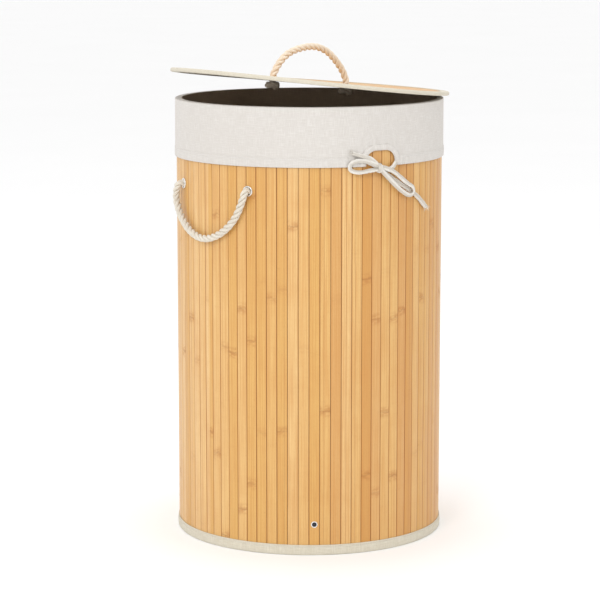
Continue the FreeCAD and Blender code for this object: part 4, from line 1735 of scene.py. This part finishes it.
    def _notch_binding(self) -> None:
        """Gathered tape round the notch."""
        inner, outer = ([Vector((offset, rise, 0.0))
                         for offset, rise in Notch().outline(margin, 0.0005, 0.0008)]
                        for margin in (0.0, self.binding_width))
        inner_line = evenly(inner, 0.0006)
        count = len(inner_line) - 1
        outer_line = evenly(outer, running_lengths(outer, False)[-1] / count)
        ring = 22
        rows = []
        for number, (near, far) in enumerate(zip(inner_line, outer_line)):
            row = []
            for corner in range(ring):
                angle = math.tau * corner / ring
                share = 0.5 - 0.5 * math.cos(angle)
                lift = math.copysign(abs(math.sin(angle)) ** 0.7, math.sin(angle))
                spot = near.lerp(far, share)
                tuck = self._tape_tuck(number, count, share) if lift > 0.0 else 0.0
                stand = self.tape_face + self.tape_half_thickness * lift + max(0.0, lift) * tuck
                row.append(wall_point(beside_notch(spot.x), stand, HEM_BOTTOM + spot.y))
            rows.append(row)
        patch = Patch()
        patch.grid(rows, round_closes=True, capped=True)
        tape = patch.make("notch_tape", NOTCH_TAPE)
        settle(tape, Body.LINER, "notch_binding")

    def _tape_tuck(self, number: int, count: int, share: float) -> float:
        """How far the tape stands out at a point of its crown.

        Args:
            number: The point's place along the tape.
            count: Points along the tape.
            share: Its place across the tape, from 0 at the notch to 1.

        Returns:
            Extra radius there.
        """
        along = number / count * 16.0
        fold = noise.noise(Vector((along, share * 1.2, 3.3)))
        pleat = 0.5 + 0.5 * math.sin(along * 2.9 + 3.0 * fold)
        return 0.0006 + 0.0014 * pleat * (0.4 + 0.6 * share)


# ---- Bow ----------------------------------------------------------------------------------------

@dataclass
class Bow:
    """Drawstring ends tied in a bow over the notch. Route points are turn in degrees and
    stand-off from the slats, both from the notch's middle, and rise above the hem's bottom."""

    diameter: float = 0.0042
    fray: Tuft = Tuft(fibres=34, reach=0.0068, thick=0.0023, spread=0.8)
    wrap: SoftCord = SoftCord(half_width=0.0026, half_thickness=0.0016, step=0.0006)
    loop_spin: float = 0.15
    end_spin: float = -0.1
    wrap_turns: float = 1.9
    wrap_radius: float = 0.0047
    knot: tuple[float, float, float] = (-1.7, 0.0072, -0.0020)
    left_loop: Route = (
        (-1.9, 0.0086, 0.0005), (-6.3, 0.0082, 0.008), (-11.0, 0.0066, 0.010),
        (-14.4, 0.0056, 0.005), (-14.3, 0.0052, -0.0045), (-10.6, 0.0054, -0.0082),
        (-6.2, 0.0070, -0.0056), (-1.9, 0.0084, -0.0032),
    )
    right_loop: Route = (
        (-1.5, 0.0088, -0.0005), (3.8, 0.0088, -0.005), (8.6, 0.0086, -0.0175),
        (12.8, 0.0086, -0.0285), (15.8, 0.0086, -0.033), (16.5, 0.0086, -0.042),
        (13.7, 0.0086, -0.047), (8.6, 0.0086, -0.0365), (4.4, 0.0086, -0.0235),
        (0.8, 0.0086, -0.0115), (-1.3, 0.0086, -0.0034),
    )
    long_end: Route = (
        (-6.9, 0.0053, 0.0075), (-4.4, 0.0056, 0.0035), (-1.7, 0.0064, -0.001),
        (-1.5, 0.0054, -0.003), (4.0, 0.0046, -0.0165), (10.0, 0.0041, -0.0285),
        (15.8, 0.0040, -0.0395), (21.4, 0.0040, -0.052), (26.1, 0.0042, -0.0665),
    )
    short_end: Route = (
        (6.9, 0.0053, 0.0055), (5.6, 0.0053, -0.003), (2.6, 0.0056, -0.0062),
        (-1.3, 0.0064, -0.002), (-2.0, 0.0080, 0.0), (-5.0, 0.0064, 0.012),
        (-9.2, 0.0056, 0.0158), (-13.3, 0.0059, 0.0205),
    )

    def place(self, point: tuple[float, float, float]) -> Vector:
        """Where a route point is."""
        turn, stand_off, rise = point
        return wall_point(NOTCH_TURN + turn, WALL_RADIUS + stand_off, HEM_BOTTOM + rise)

    def build(self) -> None:
        """Builds the knot, loops and ends."""
        self._string("bow_left_bight", self.left_loop, ("bow_left_loop",), 1.0)
        self._string("bow_right_bight", self.right_loop, ("bow_right_loop",), 2.0)
        self._string("bow_long_end", self.long_end, ("bow_long_tail", "bow_left_lead"), 3.0,
                     loose=True)
        self._string("bow_short_end", self.short_end, ("bow_short_tail", "bow_right_lead"),
                     4.0, loose=True)
        self._wrap()

    def _string(self, name: str, route: Route, nodes: Sequence[str], seed: float,
                loose: bool = False) -> None:
        """One loop out of the knot and back, or one end from the hem through the knot to its tip.

        Args:
            name: Name of the piece.
            route: Its route.
            nodes: The CAD nodes that it replaces.
            seed: Makes its creases its own.
            loose: Whether it is an end of the string, with a frayed tip.
        """
        line = smooth_route([self.place(point) for point in route])
        spin = self.end_spin if loose else self.loop_spin
        cord = SoftCord().build(name, line, BOW_COTTON, spin=spin, seed=seed)
        settle(cord, Body.LINER, *nodes)
        tufts = []
        if loose:
            tufts = [self.fray.build(name + "_fray", line[-1], line[-1] - line[-6], BOW_COTTON)]
            settle(tufts[0], Body.LINER)

    def _wrap(self) -> None:
        """The knot: one end wrapped round the other strands."""
        middle = self.place(self.knot)
        outward = away_from_wall(middle)
        beside = Vector((-outward.y, outward.x, 0.0))
        line = []
        for share in between(0.0, 1.0, 60):
            turn = math.tau * (self.wrap_turns * share - 0.35)
            radius = self.wrap_radius * (1.0 - 0.25 * abs(2.0 * share - 1.0) ** 4)
            line.append(middle + beside * (self.diameter * (share - 0.5))
                        + outward * (radius * math.cos(turn)) + UP * (1.1 * radius * math.sin(turn)))
        wrap = self.wrap.build("bow_wrap", line, BOW_COTTON, seed=5.0)
        settle(wrap, Body.LINER, "bow_knot")


# ---- Lid ----------------------------------------------------------------------------------------

@dataclass
class Lid:
    """Slatted lid that rests ajar. It is laid out closed, then tipped about its resting line."""

    radius: float = 0.210
    tape_cloth: float = 0.0008
    tape_round: float = 0.0024
    tape_middle: float = 0.206
    tape_waver: float = 0.0004
    binding_width: float = 0.013
    binding_over_edge: float = 0.006
    top: float = 0.6625
    board_bottom: float = 0.658
    board_top: float = 0.6595
    board_ease: float = 0.0004
    board_inset: float = 0.00085
    lining_bottom: float = 0.65735
    lining: float = 0.0006

    def build(self) -> None:
        """Builds the slats, board, lining and binding."""
        slats = softened_slats("lid_slats", "bamboo_lid", LID_BAMBOO,
                               lambda point: resting(ajar(point, -LID_TILT)))
        settle(slats, Body.LID, "lid_slats")
        self._board()
        self._lining()
        self._binding()

    def _tip(self, patch: Patch) -> Patch:
        """Tips a patch of the closed lid ajar."""
        patch.points = [resting(point) for point in patch.points]
        return patch

    def _board(self) -> None:
        """Stiff board under the slats, with its edges eased."""
        low, high, eased = self.board_bottom, self.board_top, self.board_ease
        reach = self.radius - self.board_inset
        radii = between(0.0, reach - eased, 26)
        profile = [(radius, low) for radius in radii]
        profile += [(reach, low + eased), (reach, high - eased)]
        profile += [(radius, high) for radius in reversed(radii)]
        patch = turned_cloth(profile, all_round(180), True)
        settle(self._tip(patch).make("lid_stiff_board", FIBREBOARD, HARD_EDGE), Body.LID, "lid_board")

    def _lining(self) -> None:
        """Cloth under the board."""
        reach = self.radius - self.board_inset
        low, high = self.lining_bottom, self.lining_bottom + self.lining
        radii = between(0.0, reach, 26)
        profile = [(radius, low) for radius in radii] + [(radius, high) for radius in reversed(radii)]
        patch = turned_cloth(profile, all_round(180), True)
        # The lining's darker cloth is painted shade.
        lining = self._tip(patch).make("lid_underside_cloth", SHADED_LINING_CLOTH)
        settle(lining, Body.LID, "lid_lining")

    def _binding(self) -> None:
        """Tape folded round the lid's edge."""
        low, high, cloth = LID_SEAT, self.top, self.tape_cloth
        inner, outer = self.radius - self.binding_width, self.radius
        upper = []
        for share in between(0.0, 1.0, 8):
            upper.append((inner + (outer - self.tape_round - inner) * share,
                          high - CLEARANCE * (1.0 - share)))
        edge = []
        for angle in between(80.0, -80.0, 12):
            turn = math.radians(angle)
            edge.append((outer - self.tape_round * (1.0 - math.cos(turn)),
                         (low + high) / 2.0 + (high - low) / 2.0 * math.sin(turn)))
        lower = [(radius, low) for radius, _ in reversed(upper)]
        inside = outer - 0.0026
        back_low = [(radius, low + cloth) for radius in between(inner, inside, 6)]
        back_high = [(radius, high - cloth) for radius in between(inside, inner, 6)]
        profile = upper + edge + lower + back_low + back_high
        patch = turned_cloth(profile, all_round(420), True, self._tape_swell)
        tape = self._tip(patch).make("lid_edge_tape", BINDING_TAPE)
        settle(tape, Body.LID, "lid_binding")

    def _tape_swell(self, place: Vector) -> float:
        """The tape's outer edge is a little uneven."""
        if math.hypot(place.x, place.y) < self.radius - 0.004:
            return 0.0
        return self.tape_waver * ripple(place, 60.0, 80.0, 12.0)


# ---- Ropes --------------------------------------------------------------------------------------

def declare_rope(rope: bpy.types.Object, way_out: Vector,
                 line: Sequence[Vector]) -> None:
    """Logs the length of a handle's rope.

    Args:
        rope: The rope.
        way_out: Where it leaves its first hole. Not used.
        line: Points of its middle line.
    """
    LOG.info("%s: %.1f mm", rope.name, running_lengths(line, False)[-1] * 1000.0)


@dataclass
class SideHandle:
    """Rope loop through two eyelets, knotted inside the wall. Route points are turn in degrees and
    stand-off from the slats, both from the handle's middle, and rise above the eyelets."""

    side: str
    middle: float
    body: Body
    pivot_radius: float = 0.209
    mouth_radius: float = 0.2030
    exit_radius: float = 0.2013
    knot_radius: float = 0.1893
    route: Route = (
        (19.2, 0.0088, -0.020), (16.0, 0.0084, -0.043), (9.6, 0.0082, -0.064),
        (1.0, 0.0080, -0.0755), (-7.4, 0.0081, -0.0715), (-15.6, 0.0083, -0.0565),
        (-21.8, 0.0088, -0.036), (-24.2, 0.0092, -0.017),
    )
    length: float = 0.280
    tail: float = 0.021
    tail_drift: float = 0.0064
    fray: Tuft = Tuft(fibres=46, reach=0.006, thick=0.0042, spread=0.3)

    def place(self, turn: float, radius: float, rise: float) -> Vector:
        """Point counted from the handle's middle and the eyelets' height."""
        return wall_point(self.middle + turn, radius, EYELET_HEIGHT + rise)

    def build(self) -> None:
        """Builds the loop and its two knots."""
        points = [self.place(EYELET_HALF_TURN, radius, 0.0)
                  for radius in (self.knot_radius, self.mouth_radius, self.pivot_radius)]
        points += [self.place(turn, WALL_RADIUS + stand, rise) for turn, stand, rise in self.route]
        points += [self.place(-EYELET_HALF_TURN, radius, 0.0)
                   for radius in (self.pivot_radius, self.mouth_radius, self.knot_radius)]
        line = smooth_route(points)
        rope = TwistedRope().build(self.side + "_handle_loop", line, SIDE_ROPE)
        ball = self.place(EYELET_HALF_TURN, self.pivot_radius, 0.0)
        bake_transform(rope)
        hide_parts(self.side + "_handle_rope")
        declare_rope(rope, self.place(EYELET_HALF_TURN, self.exit_radius, 0.0), line)
        for end, turn in (("front", -EYELET_HALF_TURN), ("back", EYELET_HALF_TURN)):
            self._knot(end, turn)

    def _knot(self, end: str, turn: float) -> None:
        """Stopper knot behind one eyelet, with its hanging tail.

        Args:
            end: Name of the end.
            turn: Turn of its eyelet from the handle's middle.
        """
        centre = self.place(turn, self.knot_radius, 0.0)
        outward = away_from_wall(centre)
        beside = Vector((-outward.y, outward.x, 0.0))
        line = knot_line(centre, outward, beside, UP)
        drop = line[-1]
        for share in between(0.1, 1.0, 10):
            line.append(drop - UP * self.tail * share - beside * (self.tail_drift * ease(share)))
        label = f"{self.side}_{end}_knot"
        knot = TwistedRope(radius=KNOT_ROPE_RADIUS).build(label, line, SIDE_ROPE)
        settle(knot, Body.BASKET, self.side + "_rope_ends")
        settle(self.fray.build(label + "_fray", line[-1], -UP, SIDE_ROPE), Body.BASKET)


def knot_line(centre: Vector, axis: Vector, beside: Vector, upward: Vector) -> list[Vector]:
    """Line of a rope wrapped once and a bit round its own standing part.

    Args:
        centre: Middle of the knot.
        axis: Direction of the standing part.
        beside: Direction square to it.
        upward: The other direction square to it.

    Returns:
        Points of the wrap.
    """
    line = []
    for share in between(0.0, 1.0, 49):
        turn = math.tau * (KNOT_TURNS * share - 0.25)
        radius = KNOT_RADIUS * (0.55 + 0.45 * ease(share * 6.0))
        line.append(centre + axis * (KNOT_CLIMB * (share - 0.5)) + beside * (radius * math.cos(turn))
                    + upward * (radius * math.sin(turn)))
    return line


@dataclass
class LidHandle:
    """Rope arch over the lid, knotted under it. Route points are place along the lid and height
    above the rope's turning line, with the lid closed."""

    half_span: float = 0.075
    pivot_height: float = 0.66695
    bend_reach: float = 0.0035
    hole_height: float = 0.661
    exit_height: float = 0.6617
    knot_height: float = 0.6509
    route: Section = (
        (-0.067, 0.016), (-0.052, 0.032), (-0.028, 0.0425), (0.003, 0.0485),
        (0.030, 0.043), (0.051, 0.029), (0.067, 0.014),
    )
    length: float = 0.216

    def build(self) -> None:
        """Builds the arch and its two knots."""
        feet = (self.knot_height, self.hole_height, self.pivot_height)
        closed = [Vector((-self.half_span, 0.0, height)) for height in feet]
        closed += [Vector((along, 0.0, self.pivot_height + height)) for along, height in self.route]
        closed += [Vector((self.half_span, 0.0, height)) for height in reversed(feet)]
        line = smooth_route([resting(point) for point in closed])
        rope = TwistedRope().build("lid_handle_arch", line, LID_ROPE)
        end = ajar(UP * (self.pivot_height + self.bend_reach))
        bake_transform(rope)
        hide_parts("lid_handle_rope")
        way_out = resting(Vector((-self.half_span, 0.0, self.exit_height)))
        declare_rope(rope, way_out, line)
        for end, side in (("left", -1.0), ("right", 1.0)):
            centre = Vector((side * self.half_span, 0.0, self.knot_height))
            wrap = knot_line(centre, UP, Vector((1.0, 0.0, 0.0)), Vector((0.0, 1.0, 0.0)))
            knot = TwistedRope(radius=KNOT_ROPE_RADIUS).build(
                f"lid_{end}_knot", [resting(place) for place in wrap], LID_ROPE)
            settle(knot, Body.LID, "lid_rope_ends")


# ---- Studio -------------------------------------------------------------------------------------

@dataclass
class Viewpoint:
    """Camera at eye level, a few steps from the hamper."""

    azimuth: float = math.radians(-42.5)
    distance: float = 3.56
    height: float = 0.925
    side_step: float = -0.0139
    pitch: float = 0.1611
    lens: float = 141.8
    sensor: float = 36.0

    def build(self) -> None:
        """Sets up the camera."""
        right = Vector((math.cos(self.azimuth), math.sin(self.azimuth), 0.0))
        forward = Vector((-math.sin(self.azimuth), math.cos(self.azimuth), 0.0))
        data = bpy.data.cameras.new("hamper_camera")
        data.lens = self.lens
        data.sensor_width = self.sensor
        camera = bpy.data.objects.new("hamper_camera", data)
        bpy.context.scene.collection.objects.link(camera)
        camera.location = -forward * self.distance + right * self.side_step + UP * self.height
        heading = forward * math.cos(self.pitch) - UP * math.sin(self.pitch)
        camera.rotation_euler = heading.to_track_quat("-Z", "Y").to_euler()
        bpy.context.scene.camera = camera


@dataclass(frozen=True)
class Lamp:
    """Soft square lamp that faces the hamper, with its width and its power in watts."""

    name: str
    place: tuple[float, float, float]
    size: float
    power: float
    aim: tuple[float, float, float] = (0.0, 0.0, 0.4)

    def build(self) -> None:
        """Sets up the lamp."""
        data = bpy.data.lights.new(self.name, "AREA")
        data.size = self.size
        data.energy = self.power
        lamp = bpy.data.objects.new(self.name, data)
        bpy.context.scene.collection.objects.link(lamp)
        lamp.location = self.place
        heading = Vector(self.aim) - Vector(self.place)
        lamp.rotation_euler = heading.to_track_quat("-Z", "Y").to_euler()


@dataclass
class Studio:
    """Pale floor and soft light."""

    floor_rings: tuple[float, ...] = (0.0, 0.6, 2.0, 6.0, 20.0, 60.0)
    sky: float = 1.0
    lamps: tuple[Lamp, ...] = (
        Lamp("key", (-3.2, -1.6, 2.4), 1.4, 38.0),
        Lamp("fill", (1.4, -3.4, 1.8), 2.2, 6.0),
        Lamp("top", (0.2, 0.4, 3.4), 2.0, 20.0),
    )

    def build(self) -> None:
        """Builds the floor, the surrounding light and the lamps."""
        patch = Patch()
        patch.grid([[wall_point(turn, radius, 0.0) for turn in all_round(64)]
                    for radius in self.floor_rings], round_closes=True)
        floor = patch.make("studio_floor", FLOOR)
        world = bpy.data.worlds.new("studio_light")
        world.use_nodes = True
        backdrop = world.node_tree.nodes["Background"]
        backdrop.inputs["Color"].default_value = (1.0, 1.0, 1.0, 1.0)
        backdrop.inputs["Strength"].default_value = self.sky
        bpy.context.scene.world = world
        bpy.context.scene.view_settings.view_transform = "Standard"
        for lamp in self.lamps:
            lamp.build()


def main() -> None:
    """Builds the hamper, from the camera and cords to the studio."""
    logging.basicConfig(level=logging.INFO, format="%(name)s %(message)s")
    Viewpoint().build()
    Bow().build()
    SideHandle("left", 180.0, Body.LEFT_HANDLE).build()
    SideHandle("right", 0.0, Body.RIGHT_HANDLE).build()
    LidHandle().build()
    SlatWall().build()
    Liner().build()
    Lid().build()
    Studio().build()


if __name__ == "__main__":
    main()
